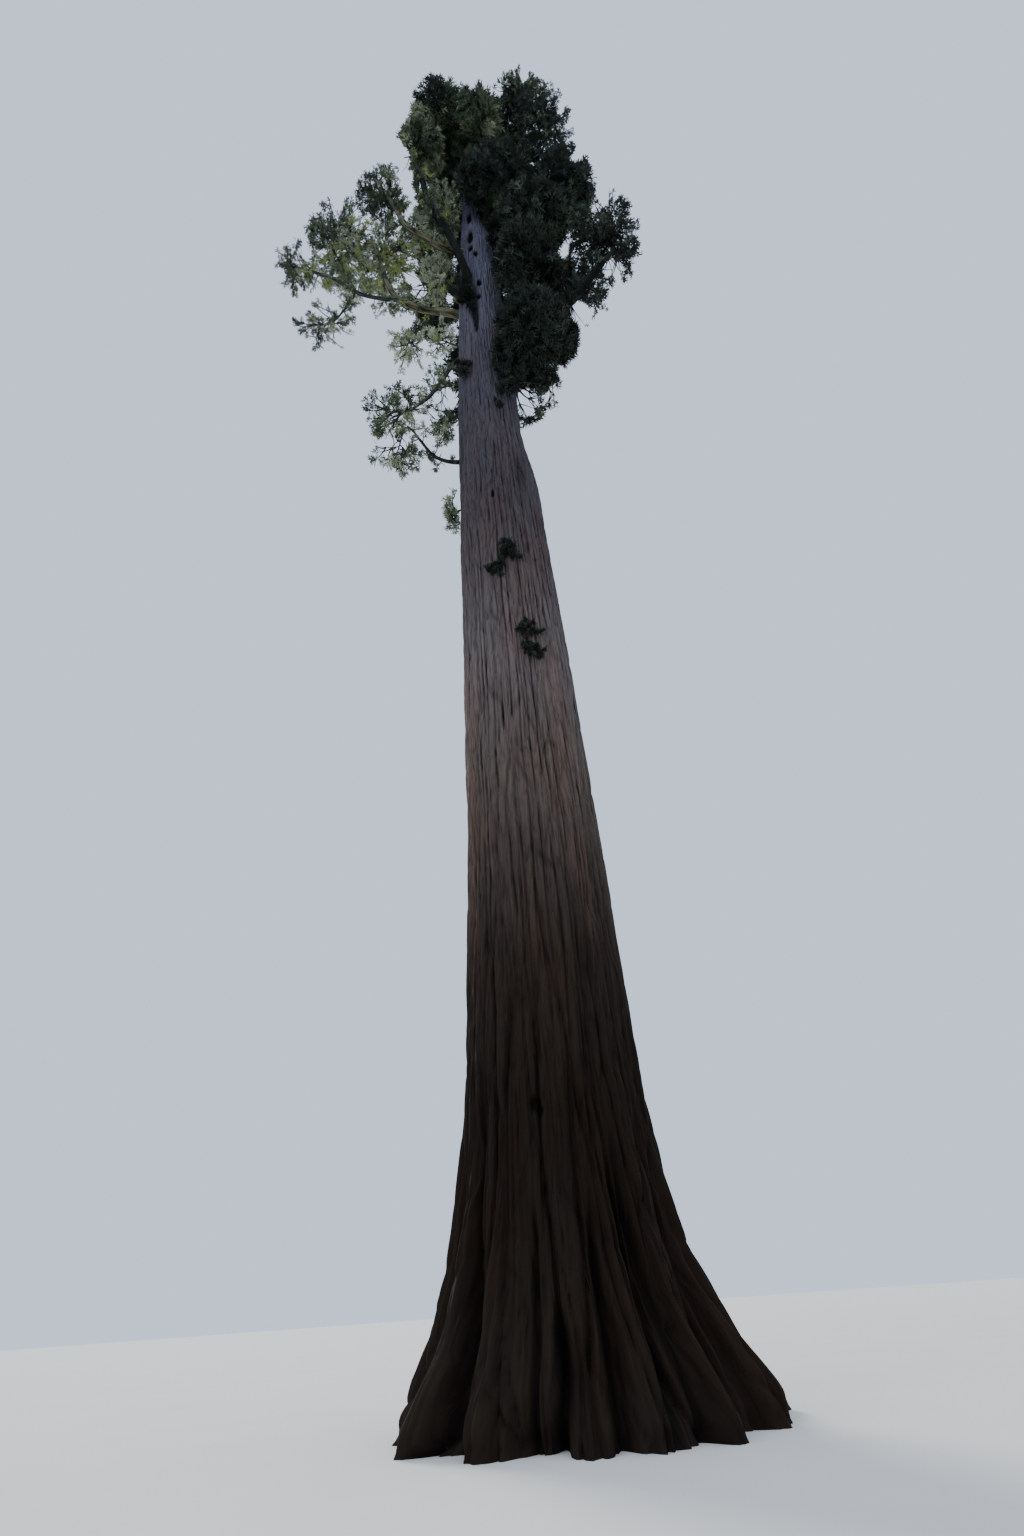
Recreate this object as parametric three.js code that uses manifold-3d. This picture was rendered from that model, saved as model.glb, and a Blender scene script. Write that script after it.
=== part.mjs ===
// Giant sequoia tree in millimetres: Z up, origin at ground level on the trunk's middle line, front to -Y.
// Headings are in degrees round the trunk: 0 is the front (-Y), 90 is +X, -90 is -X.
// The trunk, each bough and each foliage mass is a closed solid of its own, 0.3 mm clear of what carries it.
import * as THREE from 'three';
import { mergeVertices } from 'three/addons/utils/BufferGeometryUtils.js';
import Module from 'manifold-3d';

const wasm = await Module();
wasm.setup();
const { Manifold, Mesh: SolidMesh } = wasm;

// Trunk
const TREE_HEIGHT = 40000;
const TRUNK_TOP = 37700;
const BODY_RADIUS = 840;
const FLARE_DEPTH = 740;
const FLARE_HEIGHT = 820;
const TRUNK_SIDES = 40;
const RING_HEIGHTS = [0, 160, 380, 660, 1000, 1450, 2050, 2900, 4300, 6500, 9200, 12000, 13100, 14000,
  14750, 16800, 19500, 22500, 26500, 30500, 34000, 36500, 37550];
// Buttress ridges: heading, half-width in degrees, strength
const RIDGES = [[-80, 16, 0.8], [-53, 13, 0.95], [-30, 14, 0.85], [1, 13, 0.7], [19, 10, 0.8], [38, 12, 0.95],
  [66, 17, 0.95], [97, 15, 0.8], [125, 16, 1], [154, 15, 0.8], [-177, 16, 1], [-146, 15, 0.85],
  [-112, 17, 1]];
// Swelling and step on the right side
const SWELL = { height: 13900, spread: 900, depth: 25 };
const STEP = { from: 12900, to: 15300, end: 20500, depth: 130 };
// How far the trunk sways to the left at shoulder height
const SWAY = 260;

// Clearances
const JOINT_GAP = 0.3;
const LIMB_CLEARANCE = 30;
const CELL_MARGIN = 4;

// Boughs: name, what they grow from, middle line in mm, radius at the root and at the tip
const BOUGHS = [
  ['bough_left', ['trunk'], [[-350, -450, 21900], [-850, -600, 22150], [-1750, -740, 22350],
    [-2450, -920, 22750]], 105, 92],
  ['bough_left_rise', ['bough_left'], [[-2330, -890, 22670], [-2560, -970, 23050], [-2790, -1100, 23850],
    [-2960, -1230, 24700]], 90, 70],
  ['bough_left_outer', ['bough_left', 'bough_left_rise'], [[-2400, -905, 22700], [-3080, -1110, 22480],
    [-3550, -1350, 22330], [-3900, -1610, 22350], [-4650, -1840, 22600]], 62, 34],
  ['bough_left_crest', ['bough_left_outer'], [[-3540, -1345, 22300], [-3700, -1500, 23050],
    [-4000, -1680, 23950]], 46, 34],
  ['bough_left_drop', ['bough_left_outer'], [[-3480, -1310, 22330], [-3540, -1290, 21750],
    [-3780, -1220, 21080]], 42, 28],
  ['bough_left_high', ['trunk'], [[-350, -780, 26300], [-750, -1050, 25790], [-1210, -1350, 25260],
    [-1670, -1620, 25310], [-2100, -1850, 25590], [-2410, -2000, 26610]], 110, 80],
  ['bough_left_front', ['trunk'], [[-360, -850, 23000], [-590, -1250, 24060], [-940, -1550, 25720],
    [-1430, -1850, 27230], [-1780, -2200, 30000]], 120, 85],
  ['bough_low_upper', ['trunk'], [[-480, -430, 19750], [-890, -510, 19250], [-1180, -560, 18250],
    [-1480, -720, 16950], [-1700, -860, 16250]], 55, 32],
  ['bough_low_lower', ['trunk'], [[-480, -290, 14900], [-880, -320, 14680], [-1330, -560, 14520],
    [-1640, -860, 14780]], 48, 28],
  ['bough_right_shoulder', ['trunk'], [[150, -800, 24600], [800, -1080, 25500], [1560, -1420, 26500],
    [2290, -1720, 27350]], 150, 85],
  ['bough_right_far', ['trunk'], [[150, -600, 18300], [900, -850, 19000], [2150, -1300, 20150],
    [3070, -1560, 21650]], 140, 75],
  ['bough_right_outer', ['trunk'], [[150, -480, 19700], [900, -640, 20350], [1850, -880, 21250]], 110, 70],
  ['bough_top_right', ['trunk'], [[0, -1000, 28700], [700, -1450, 29950], [1550, -2100, 31150],
    [2270, -2520, 32050]], 125, 65],
  ['bough_top_peak', ['trunk'], [[0, -1120, 31300], [500, -1500, 32600], [1180, -2300, 33900],
    [1430, -2900, 34500]], 95, 55],
  ['bough_top_left', ['trunk'], [[-200, -1100, 30900], [-480, -1450, 31800], [-830, -2050, 32900],
    [-1050, -2420, 33600]], 110, 60],
  ['bough_back_left', ['trunk'], [[-300, -500, 25200], [-900, -100, 26200], [-1500, 550, 27800]], 120, 70],
  ['bough_back_right', ['trunk'], [[-50, -500, 23400], [600, 50, 24300], [1150, 700, 25500]], 120, 70],
  ['bough_back_low', ['trunk'], [[-150, -250, 18900], [-250, 700, 19900], [-380, 1250, 21100]], 115, 70]
];

// Foliage masses: name, bough or trunk, middle, half-sizes along X Y Z, full or open, and for a mass on the
// trunk the height of its root
const MASSES = [
  ['foliage_top_left', 'bough_top_left', [-950, -2820, 34300], [1350, 1240, 2400], 'full'],
  ['foliage_top_left_edge', 'bough_left_front', [-1760, -2350, 32000], [980, 1100, 2250], 'full'],
  ['foliage_top_middle', 'trunk', [340, -2860, 33300], [1250, 1090, 2440], 'full', 31000],
  ['foliage_top_peak', 'bough_top_peak', [1800, -2980, 34900], [1080, 920, 2120], 'full'],
  ['foliage_top_right', 'bough_top_right', [2420, -2700, 32300], [1200, 1130, 2500], 'full'],
  ['foliage_front', 'trunk', [740, -1980, 29600], [1600, 1040, 2440], 'full', 28000],
  ['foliage_right_shoulder', 'bough_right_shoulder', [2660, -1860, 27800], [1130, 1120, 2500], 'full'],
  ['foliage_right_far', 'bough_right_far', [3360, -1600, 23300], [1000, 1210, 2300], 'full'],
  ['foliage_right_middle', 'trunk', [1700, -1780, 25400], [1340, 1040, 2440], 'full', 23600],
  ['foliage_column_upper', 'trunk', [1220, -1600, 22000], [1070, 1060, 2310], 'full', 20600],
  ['foliage_column_lower', 'trunk', [980, -1280, 18400], [1010, 920, 2310], 'full', 17200],
  ['foliage_right_outer', 'bough_right_outer', [2380, -950, 22400], [1090, 1040, 2310], 'full'],
  ['foliage_right_lower', 'trunk', [1720, -640, 20000], [640, 640, 1350], 'full', 19000],
  ['foliage_right_hanging', 'trunk', [1300, -430, 17600], [360, 500, 900], 'open', 17900],
  ['foliage_left_crest', 'bough_left_crest', [-3980, -1760, 25100], [1200, 1090, 2000], 'full'],
  ['foliage_left_hump', 'bough_left_high', [-2920, -1980, 28650], [1020, 870, 1650], 'full'],
  ['foliage_left_full', 'bough_left_rise', [-2880, -1000, 26100], [1420, 1050, 2600], 'full'],
  ['foliage_left_tip', 'bough_left_outer', [-4950, -1880, 22700], [630, 690, 1040], 'open'],
  ['foliage_left_drop', 'bough_left_drop', [-4150, -1180, 20500], [920, 630, 1040], 'open'],
  ['foliage_inner_upper', 'trunk', [-1380, -1100, 30100], [1040, 1010, 2250], 'full', 28600],
  ['foliage_inner_lower', 'trunk', [-1480, -450, 25500], [950, 800, 2100], 'full', 24200],
  ['foliage_under_bough', 'trunk', [-1280, -520, 20700], [800, 540, 1090], 'open', 20000],
  ['foliage_hanging', 'bough_left', [-2070, -800, 19800], [580, 720, 1320], 'open'],
  ['foliage_near_trunk', 'trunk', [-1280, -250, 18500], [500, 620, 1040], 'open', 18300],
  ['foliage_low_upper', 'bough_low_upper', [-2080, -1020, 15500], [920, 720, 1090], 'open'],
  ['foliage_low_lower', 'bough_low_lower', [-2000, -1000, 14000], [630, 520, 750], 'open'],
  ['foliage_low_inner', 'trunk', [-1220, -380, 16400], [480, 600, 980], 'open', 16700],
  ['foliage_sprig', 'trunk', [-1030, -200, 13000], [290, 580, 550], 'open', 13000],
  ['foliage_tip', 'trunk', [-180, -1230, 38050], [1320, 1320, 1950], 'full', 37000],
  ['foliage_crown_left', 'trunk', [-1200, -900, 35900], [1210, 1210, 2310], 'full', 34700],
  ['foliage_crown_right', 'trunk', [850, -1150, 36100], [1210, 1210, 2310], 'full', 34900],
  ['foliage_crown_back', 'trunk', [-250, 150, 35800], [1320, 1150, 2440], 'full', 34500],
  ['foliage_back_top_left', 'trunk', [-1550, 150, 32500], [1320, 1260, 2500], 'full', 30800],
  ['foliage_back_top_right', 'trunk', [1600, -300, 32600], [1380, 1260, 2620], 'full', 30900],
  ['foliage_back_top', 'trunk', [100, 1050, 31900], [1380, 1260, 2620], 'full', 30000],
  ['foliage_back_left', 'bough_back_left', [-1850, 1050, 28600], [1320, 1320, 2500], 'full'],
  ['foliage_back_shoulder', 'trunk', [1800, 300, 28900], [1440, 1320, 2500], 'full', 27200],
  ['foliage_back_middle', 'trunk', [-50, 1550, 27700], [1380, 1260, 2620], 'full', 25900],
  ['foliage_back_right', 'bough_back_right', [1650, 1150, 25300], [1320, 1260, 2500], 'full'],
  ['foliage_back_low_right', 'trunk', [650, 1250, 21900], [1200, 1120, 2050], 'full', 20200],
  ['foliage_back_low', 'bough_back_low', [-450, 1650, 23200], [1380, 1260, 2620], 'full']
];
const FULL_SPRAYS = 12;
const OPEN_TWIGS = 6;
const SPRAY_LENGTH = 950;
const SPRAY_WIDTH = 520;
const SPRAY_THICKNESS = 90;
const CORE_SHARE = 0.72;
const GOLDEN_ANGLE = Math.PI * (3 - Math.sqrt(5));

// Colours
const BARK_COLOUR = 0x6f4a38;
const LIMB_COLOUR = 0x5b463a;
const DARK_GREEN = 0x2f4a26;
const LIT_GREEN = 0x7d8b3a;

const group = new THREE.Group();
group.name = 'giant_sequoia_tree';

// The same numbers come out for the same seed
function seeded(seed) {
  let state = seed >>> 0;
  return () => {
    state = (Math.imul(state, 1664525) + 1013904223) >>> 0;
    return state / 4294967296;
  };
}

const smooth = (from, to, value) => THREE.MathUtils.smoothstep(value, from, to);
const vector = (list) => new THREE.Vector3(...list);

// Middle line of the trunk: it leans a little to the left and, higher up, to the front
function middleAt(height) {
  const lean = -180 * (1 - Math.exp(-((height / 14000) ** 2)));
  const sway = -SWAY * (height / 1500) ** 2 * Math.exp(-height / 900);
  return new THREE.Vector3(lean + sway, -1200 * (height / 38000) ** 1.5, height);
}

function ridgeAt(heading) {
  let best = 0;
  for (const [middle, width, strength] of RIDGES) {
    const away = Math.abs(THREE.MathUtils.euclideanModulo(heading - middle + 180, 360) - 180) / width;
    if (away < 1) best = Math.max(best, strength * 0.5 * (1 + Math.cos(Math.PI * away)));
  }
  return best;
}

function trunkRadius(height, heading) {
  const body = BODY_RADIUS * (1 - (height / TREE_HEIGHT) ** 2.2);
  const ridge = ridgeAt(heading);
  const flare = FLARE_DEPTH * Math.exp(-height / FLARE_HEIGHT) * (0.72 + 0.45 * ridge);
  const flute = 34 * Math.exp(-height / 7000) * (ridge - 0.4);
  const side = Math.max(0, Math.sin(THREE.MathUtils.degToRad(heading))) ** 1.5;
  const swell = SWELL.depth * Math.exp(-(((height - SWELL.height) / SWELL.spread) ** 2));
  const step = STEP.depth * smooth(STEP.from, STEP.to, height) * (1 - smooth(STEP.to, STEP.end, height));
  return body + flare + flute + side * (swell - step);
}

// Weld a geometry's corners and drop faces that have shrunk to a line
function welded(geometry) {
  geometry.deleteAttribute('normal');
  geometry.deleteAttribute('uv');
  const whole = mergeVertices(geometry, 1e-3);
  const index = whole.getIndex().array;
  const kept = [];
  for (let i = 0; i < index.length; i += 3) {
    const [a, b, c] = [index[i], index[i + 1], index[i + 2]];
    if (a !== b && b !== c && c !== a) kept.push(a, b, c);
  }
  whole.setIndex(kept);
  return whole;
}

function solidOf(geometry) {
  const whole = welded(geometry);
  return Manifold.ofMesh(new SolidMesh({
    numProp: 3,
    vertProperties: Float32Array.from(whole.getAttribute('position').array),
    triVerts: Uint32Array.from(whole.getIndex().array)
  }));
}

function geometryOf(solid) {
  const mesh = solid.getMesh();
  const geometry = new THREE.BufferGeometry();
  geometry.setAttribute('position', new THREE.BufferAttribute(Float32Array.from(mesh.vertProperties), 3));
  geometry.setIndex(Array.from(mesh.triVerts));
  geometry.computeVertexNormals();
  return geometry;
}

// Turn a profile round and set each corner of ring j on side i by a rule
function turned(profile, sides, rule) {
  const geometry = new THREE.LatheGeometry(profile, sides);
  const position = geometry.getAttribute('position');
  for (let k = 0; k < position.count; k++) {
    const ring = k % profile.length;
    const side = Math.floor(k / profile.length) % sides;
    const spot = rule(ring, (side / sides) * 360, profile[ring]);
    position.setXYZ(k, spot.x, spot.y, spot.z);
  }
  return geometry;
}

// The trunk, or a copy of it grown by a clearance
function trunkGeometry(grown, sides = TRUNK_SIDES, heights = RING_HEIGHTS) {
  const profile = [new THREE.Vector2(0, 0)];
  for (const height of heights) profile.push(new THREE.Vector2(1, height));
  profile.push(new THREE.Vector2(0, TRUNK_TOP));
  const last = profile.length - 1;
  return turned(profile, sides, (ring, heading, corner) => {
    const spot = middleAt(corner.y);
    if (ring === 0) return spot.setZ(-grown);
    if (ring === last) return spot.setZ(TRUNK_TOP + grown);
    const angle = THREE.MathUtils.degToRad(heading);
    const radius = trunkRadius(corner.y, heading) + grown;
    spot.x += radius * Math.sin(angle);
    spot.y -= radius * Math.cos(angle);
    if (ring === 1) spot.z -= grown;
    return spot;
  });
}

// A tapering limb along a smooth middle line, or a copy grown by a clearance
class Limb {
  constructor(spots, rootRadius, tipRadius, sides, rings) {
    this.curve = new THREE.CatmullRomCurve3(spots);
    Object.assign(this, { rootRadius, tipRadius, sides, rings });
    this.samples = [];
    for (let i = 0; i <= 24; i++) {
      this.samples.push({ spot: this.curve.getPointAt(i / 24), radius: this.radiusAt(i / 24) });
    }
  }

  radiusAt(share) {
    return THREE.MathUtils.lerp(this.rootRadius, this.tipRadius, share ** 0.8);
  }

  geometry(grown = 0) {
    const frames = this.curve.computeFrenetFrames(this.rings);
    const profile = [new THREE.Vector2(0, 0)];
    for (let i = 0; i <= this.rings; i++) {
      profile.push(new THREE.Vector2(this.radiusAt(i / this.rings) + grown, i));
    }
    profile.push(new THREE.Vector2(0, this.rings));
    return turned(profile, this.sides, (ring, heading, corner) => {
      const i = corner.y;
      const angle = THREE.MathUtils.degToRad(heading);
      const spot = this.curve.getPointAt(i / this.rings);
      spot.addScaledVector(frames.normals[i], corner.x * Math.sin(angle));
      spot.addScaledVector(frames.binormals[i], -corner.x * Math.cos(angle));
      if (i === 0) spot.addScaledVector(frames.tangents[i], -grown);
      if (i === this.rings) spot.addScaledVector(frames.tangents[i], grown);
      return spot;
    });
  }

  // A copy with few faces, grown to be cut out of a core
  coarse(grown) {
    const spots = [0, 0.25, 0.5, 0.75, 1].map((share) => this.curve.getPointAt(share));
    const plain = new Limb(spots, this.rootRadius * 1.2, this.tipRadius * 1.2, 4, 4);
    return plain.geometry(grown);
  }

  // Room left between a point and the limb's bark
  room(point) {
    let least = Infinity;
    for (const { spot, radius } of this.samples) least = Math.min(least, spot.distanceTo(point) - radius);
    return least;
  }
}

function trunkRoom(point) {
  if (point.z > TRUNK_TOP) return point.distanceTo(middleAt(TRUNK_TOP));
  const middle = middleAt(Math.max(0, point.z));
  const heading = THREE.MathUtils.radToDeg(Math.atan2(point.x - middle.x, middle.y - point.y));
  return Math.hypot(point.x - middle.x, point.y - middle.y) - trunkRadius(Math.max(0, point.z), heading);
}

function largestBody(solid) {
  return solid.decompose().reduce((best, body) => (body.volume() > best.volume() ? body : best));
}

function addNode(name, geometry, colour) {
  const material = new THREE.MeshStandardMaterial({ color: colour, roughness: 0.9, flatShading: true });
  const mesh = new THREE.Mesh(geometry, material);
  mesh.name = name;
  group.add(mesh);
}

// Trunk
const trunkWhole = welded(trunkGeometry(0));
trunkWhole.computeVertexNormals();
addNode('trunk', trunkWhole, BARK_COLOUR);
const grownTrunk = solidOf(trunkGeometry(JOINT_GAP));
const wideTrunk = solidOf(trunkGeometry(LIMB_CLEARANCE + 20, 12, [0, 12000, 20000, 28000, 34000, 37550]));

// Boughs
const limbs = new Map();
for (const [name, parents, spots, rootRadius, tipRadius] of BOUGHS) {
  const limb = new Limb(spots.map(vector), rootRadius, tipRadius, 6, Math.max(4, spots.length + 1));
  limbs.set(name, limb);
  let body = solidOf(limb.geometry());
  for (const parent of parents) {
    body = body.subtract(parent === 'trunk' ? grownTrunk : solidOf(limbs.get(parent).geometry(JOINT_GAP)));
  }
  addNode(name, geometryOf(largestBody(body)), LIMB_COLOUR);
}

// Cells: each mass has an ellipsoid to itself, parted from the others by planes
const cells = MASSES.map(([name, carrier, centre, half, kind, rootHeight], order) => ({
  name,
  carrier,
  centre: vector(centre),
  half: vector(half),
  full: kind === 'full',
  rootHeight,
  order,
  planes: []
}));

function supportOf(cell, direction) {
  return 1 / direction.clone().divide(cell.half).length();
}

for (const cell of cells) {
  for (const other of cells) {
    if (other === cell) continue;
    const direction = other.centre.clone().sub(cell.centre);
    const apart = direction.length();
    direction.normalize();
    const mine = supportOf(cell, direction);
    const share = mine / (mine + supportOf(other, direction));
    const spot = cell.centre.clone().addScaledVector(direction, apart * share);
    if (apart * share < mine * 2.5) {
      cell.planes.push({ normal: direction, offset: direction.dot(spot) - CELL_MARGIN });
    }
  }
}

// Distance from a point inside a cell to its edge
function edgeDistance(cell, from, direction) {
  const p = from.clone().sub(cell.centre).divide(cell.half);
  const d = direction.clone().divide(cell.half);
  const a = d.lengthSq();
  const b = p.dot(d);
  const c = p.lengthSq() - 1;
  let distance = (-b + Math.sqrt(Math.max(0, b * b - a * c))) / a;
  for (const { normal, offset } of cell.planes) {
    const speed = normal.dot(direction);
    if (speed > 1e-6) distance = Math.min(distance, (offset - normal.dot(from)) / speed);
  }
  return Math.max(0, distance);
}

function insideCell(cell, point) {
  if (point.clone().sub(cell.centre).divide(cell.half).lengthSq() > 1.02) return false;
  return cell.planes.every(({ normal, offset }) => normal.dot(point) <= offset);
}

// Stems: from inside the bough's tip or the trunk to a little past the mass's middle
for (const cell of cells) {
  const bough = limbs.get(cell.carrier);
  let start;
  let ahead;
  let radius;
  if (cell.name === 'foliage_hanging') {
    start = bough.curve.getPointAt(0.72);
    ahead = new THREE.Vector3(0, 0, -1);
    radius = 34;
  } else if (bough) {
    start = bough.curve.getPointAt(1);
    ahead = bough.curve.getTangentAt(1);
    radius = bough.tipRadius * 0.92;
    start.addScaledVector(ahead, -80);
  } else {
    start = middleAt(cell.rootHeight);
    ahead = cell.centre.clone().sub(start);
    if (cell.name !== 'foliage_tip') ahead.setZ(0).normalize().multiplyScalar(0.9).setZ(0.25);
    ahead.normalize();
    radius = cell.full ? 70 : 32;
  }
  const reach = start.distanceTo(cell.centre);
  const bend = start.clone().addScaledVector(ahead, reach * 0.42);
  const onward = cell.centre.clone().sub(bend).normalize();
  const end = cell.centre.clone().addScaledVector(onward, cell.half.x * 0.25);
  cell.stem = new Limb([start, bend, cell.centre.clone(), end], radius, radius * 0.5, 4, 3);
  cell.stemRadius = radius;
}

// Three-sided twig
function twig(from, to, rootRadius, tipRadius) {
  const bow = from.clone().lerp(to, 0.5);
  bow.z += from.distanceTo(to) * 0.06;
  return new Limb([from, bow, to], rootRadius, tipRadius, 3, 1);
}

// Spray: a flat pointed blade of eight faces
function spray(root, tip, lean) {
  const along = tip.clone().sub(root);
  const length = along.length();
  const direction = along.clone().normalize();
  const side = new THREE.Vector3().crossVectors(new THREE.Vector3(0, 0, 1), direction);
  if (side.length() < 0.1) side.set(1, 0, 0);
  side.normalize().applyAxisAngle(direction, lean);
  const up = new THREE.Vector3().crossVectors(direction, side);
  const width = SPRAY_WIDTH * Math.min(1, length / SPRAY_LENGTH);
  const geometry = new THREE.OctahedronGeometry(1, 0);
  const position = geometry.getAttribute('position');
  for (let k = 0; k < position.count; k++) {
    const [x, y, z] = [position.getX(k), position.getY(k), position.getZ(k)];
    const spot = root.clone().addScaledVector(along, x > 0.5 ? 1 : x < -0.5 ? 0 : 0.56);
    spot.addScaledVector(side, y * width * 0.5).addScaledVector(up, z * SPRAY_THICKNESS * 0.5);
    position.setXYZ(k, spot.x, spot.y, spot.z);
  }
  const corners = [0.2, 0.45, 0.7, 1].map((share) => root.clone().addScaledVector(along, share));
  corners.push(corners[1].clone().addScaledVector(side, width * 0.5));
  corners.push(corners[1].clone().addScaledVector(side, -width * 0.5));
  return { geometry, corners };
}

// Every bough, and the stems of the other masses
function foreignLimbs(cell) {
  return [...limbs.values(), ...cells.filter((other) => other !== cell).map((other) => other.stem)];
}

function reaches(cell, limb) {
  return limb.samples.some(({ spot, radius }) => spot.clone().sub(cell.centre).divide(cell.half).length()
    < 1 + (radius + LIMB_CLEARANCE) / cell.half.x);
}

function isClear(cell, points) {
  return points.every((point) => trunkRoom(point) > LIMB_CLEARANCE
    && foreignLimbs(cell).every((limb) => limb.room(point) > LIMB_CLEARANCE));
}

// Lumpy core of a full mass
function core(cell, chance) {
  const whole = welded(new THREE.IcosahedronGeometry(1, 0));
  const position = whole.getAttribute('position');
  for (let k = 0; k < position.count; k++) {
    const direction = new THREE.Vector3().fromBufferAttribute(position, k).normalize();
    const open = supportOf(cell, direction) * (CORE_SHARE + 0.16 * (chance() - 0.5));
    const distance = Math.min(open, edgeDistance(cell, cell.centre, direction) * 0.93);
    const spot = cell.centre.clone().addScaledVector(direction, distance);
    position.setXYZ(k, spot.x, spot.y, spot.z);
  }
  let body = solidOf(whole).subtract(wideTrunk);
  for (const limb of foreignLimbs(cell)) {
    if (reaches(cell, limb)) body = body.subtract(solidOf(limb.coarse(LIMB_CLEARANCE + 10)));
  }
  return body;
}

function spiral(step, count, chance) {
  const rise = 1 - (2 * (step + 0.5)) / count;
  const angle = step * GOLDEN_ANGLE + chance() * 0.5;
  const flat = Math.sqrt(1 - rise * rise);
  return new THREE.Vector3(flat * Math.cos(angle), flat * Math.sin(angle), rise);
}

// Foliage masses
for (const cell of cells) {
  const chance = seeded(1009 * (cell.order + 1));
  const bough = limbs.get(cell.carrier);
  const carrier = bough ? solidOf(bough.geometry(JOINT_GAP)) : grownTrunk;
  let body = solidOf(cell.stem.geometry()).subtract(carrier);
  const added = [];
  if (cell.full) {
    added.push(core(cell, chance));
    for (let step = 0; step < FULL_SPRAYS; step++) {
      const direction = step ? spiral(step, FULL_SPRAYS, chance) : new THREE.Vector3(0, 0, 1);
      const reach = edgeDistance(cell, cell.centre, direction) * (step ? 0.9 + 0.09 * chance() : 1);
      const open = supportOf(cell, direction);
      const length = Math.min(SPRAY_LENGTH * (0.85 + 0.3 * chance()), reach * 0.8);
      if (reach < open * 0.72) continue;
      const tip = cell.centre.clone().addScaledVector(direction, reach);
      const root = cell.centre.clone().addScaledVector(direction, reach - length);
      root.z -= length * 0.18;
      const blade = spray(root, tip, (chance() - 0.5) * 1.6);
      if (insideCell(cell, blade.corners[4]) && insideCell(cell, blade.corners[5])
        && isClear(cell, blade.corners)) added.push(solidOf(blade.geometry));
    }
  } else {
    for (let step = 0; step < OPEN_TWIGS; step++) {
      const bare = cell.stem.samples.findIndex(({ spot }) => isClear(cell, [spot])) / 24;
      const first = Math.max(0.4, bare + 0.04);
      const from = cell.stem.curve.getPointAt(first + ((0.96 - first) * (step + 0.5)) / OPEN_TWIGS);
      const direction = spiral(step, OPEN_TWIGS, chance);
      const reach = edgeDistance(cell, from, direction) * 0.72;
      if (reach < 120) continue;
      const to = from.clone().addScaledVector(direction, reach);
      const stalk = twig(from, to, cell.stemRadius * 0.55, 12);
      if (!isClear(cell, stalk.samples.map(({ spot }) => spot))) continue;
      added.push(solidOf(stalk.geometry()));
      const side = new THREE.Vector3(0, 0, 1).cross(direction).normalize();
      for (const [share, turn] of [[1, 0.25], [0.6, step % 2 ? 0.9 : -0.9]]) {
        const root = stalk.curve.getPointAt(share * 0.96);
        const outward = direction.clone().addScaledVector(side, turn + 0.4 * (chance() - 0.5)).normalize();
        outward.z += 0.3 * (chance() - 0.5);
        outward.normalize();
        const length = Math.min(SPRAY_LENGTH * 0.8, edgeDistance(cell, root, outward) * 0.97);
        if (length < 130) continue;
        const tip = root.clone().addScaledVector(outward, length);
        root.addScaledVector(outward, -60);
        const blade = spray(root, tip, (chance() - 0.5) * 1.6);
        if (insideCell(cell, blade.corners[4]) && insideCell(cell, blade.corners[5])
          && isClear(cell, blade.corners)) added.push(solidOf(blade.geometry));
      }
    }
  }
  body = Manifold.union([body, ...added]);
  for (const limb of foreignLimbs(cell)) {
    if (!reaches(cell, limb)) continue;
    const near = solidOf(limb.geometry(limb === bough ? JOINT_GAP : 5));
    if (body.intersect(near).volume() > 0) body = body.subtract(near);
  }
  addNode(cell.name, geometryOf(largestBody(body)), cell.full ? DARK_GREEN : LIT_GREEN);
}

export default group;
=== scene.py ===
# Giant sequoia tree: bark, boughs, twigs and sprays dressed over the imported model
# Metres, +Z up, origin at ground level on the trunk's middle line, front to -Y
# Headings are in degrees round the trunk: 0 is the front (-Y), 90 is +X, -90 is -X
import math

import bpy
import numpy as np
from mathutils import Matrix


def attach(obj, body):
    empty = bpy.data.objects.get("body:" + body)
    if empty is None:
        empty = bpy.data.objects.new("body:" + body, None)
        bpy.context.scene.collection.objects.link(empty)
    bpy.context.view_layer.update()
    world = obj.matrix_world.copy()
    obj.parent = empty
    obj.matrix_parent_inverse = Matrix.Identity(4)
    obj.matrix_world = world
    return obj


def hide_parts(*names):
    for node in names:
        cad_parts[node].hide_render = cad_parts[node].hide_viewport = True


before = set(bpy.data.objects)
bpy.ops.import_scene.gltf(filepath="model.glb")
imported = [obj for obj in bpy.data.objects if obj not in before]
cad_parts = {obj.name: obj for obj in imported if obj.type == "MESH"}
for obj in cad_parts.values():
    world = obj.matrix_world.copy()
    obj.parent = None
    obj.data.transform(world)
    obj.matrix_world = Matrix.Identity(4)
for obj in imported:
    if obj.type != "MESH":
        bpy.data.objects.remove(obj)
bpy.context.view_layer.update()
print("loaded", len(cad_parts), "nodes")


# One value of a node tree: sums and products with it add Math nodes
class Value:
    def __init__(self, graph, socket):
        self.graph, self.socket = graph, socket

    def __add__(self, other):
        return self.graph.maths("ADD", self, other)

    __radd__ = __add__

    def __sub__(self, other):
        return self.graph.maths("SUBTRACT", self, other)

    def __rsub__(self, other):
        return self.graph.maths("SUBTRACT", other, self)

    def __mul__(self, other):
        return self.graph.maths("MULTIPLY", self, other)

    __rmul__ = __mul__


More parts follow.
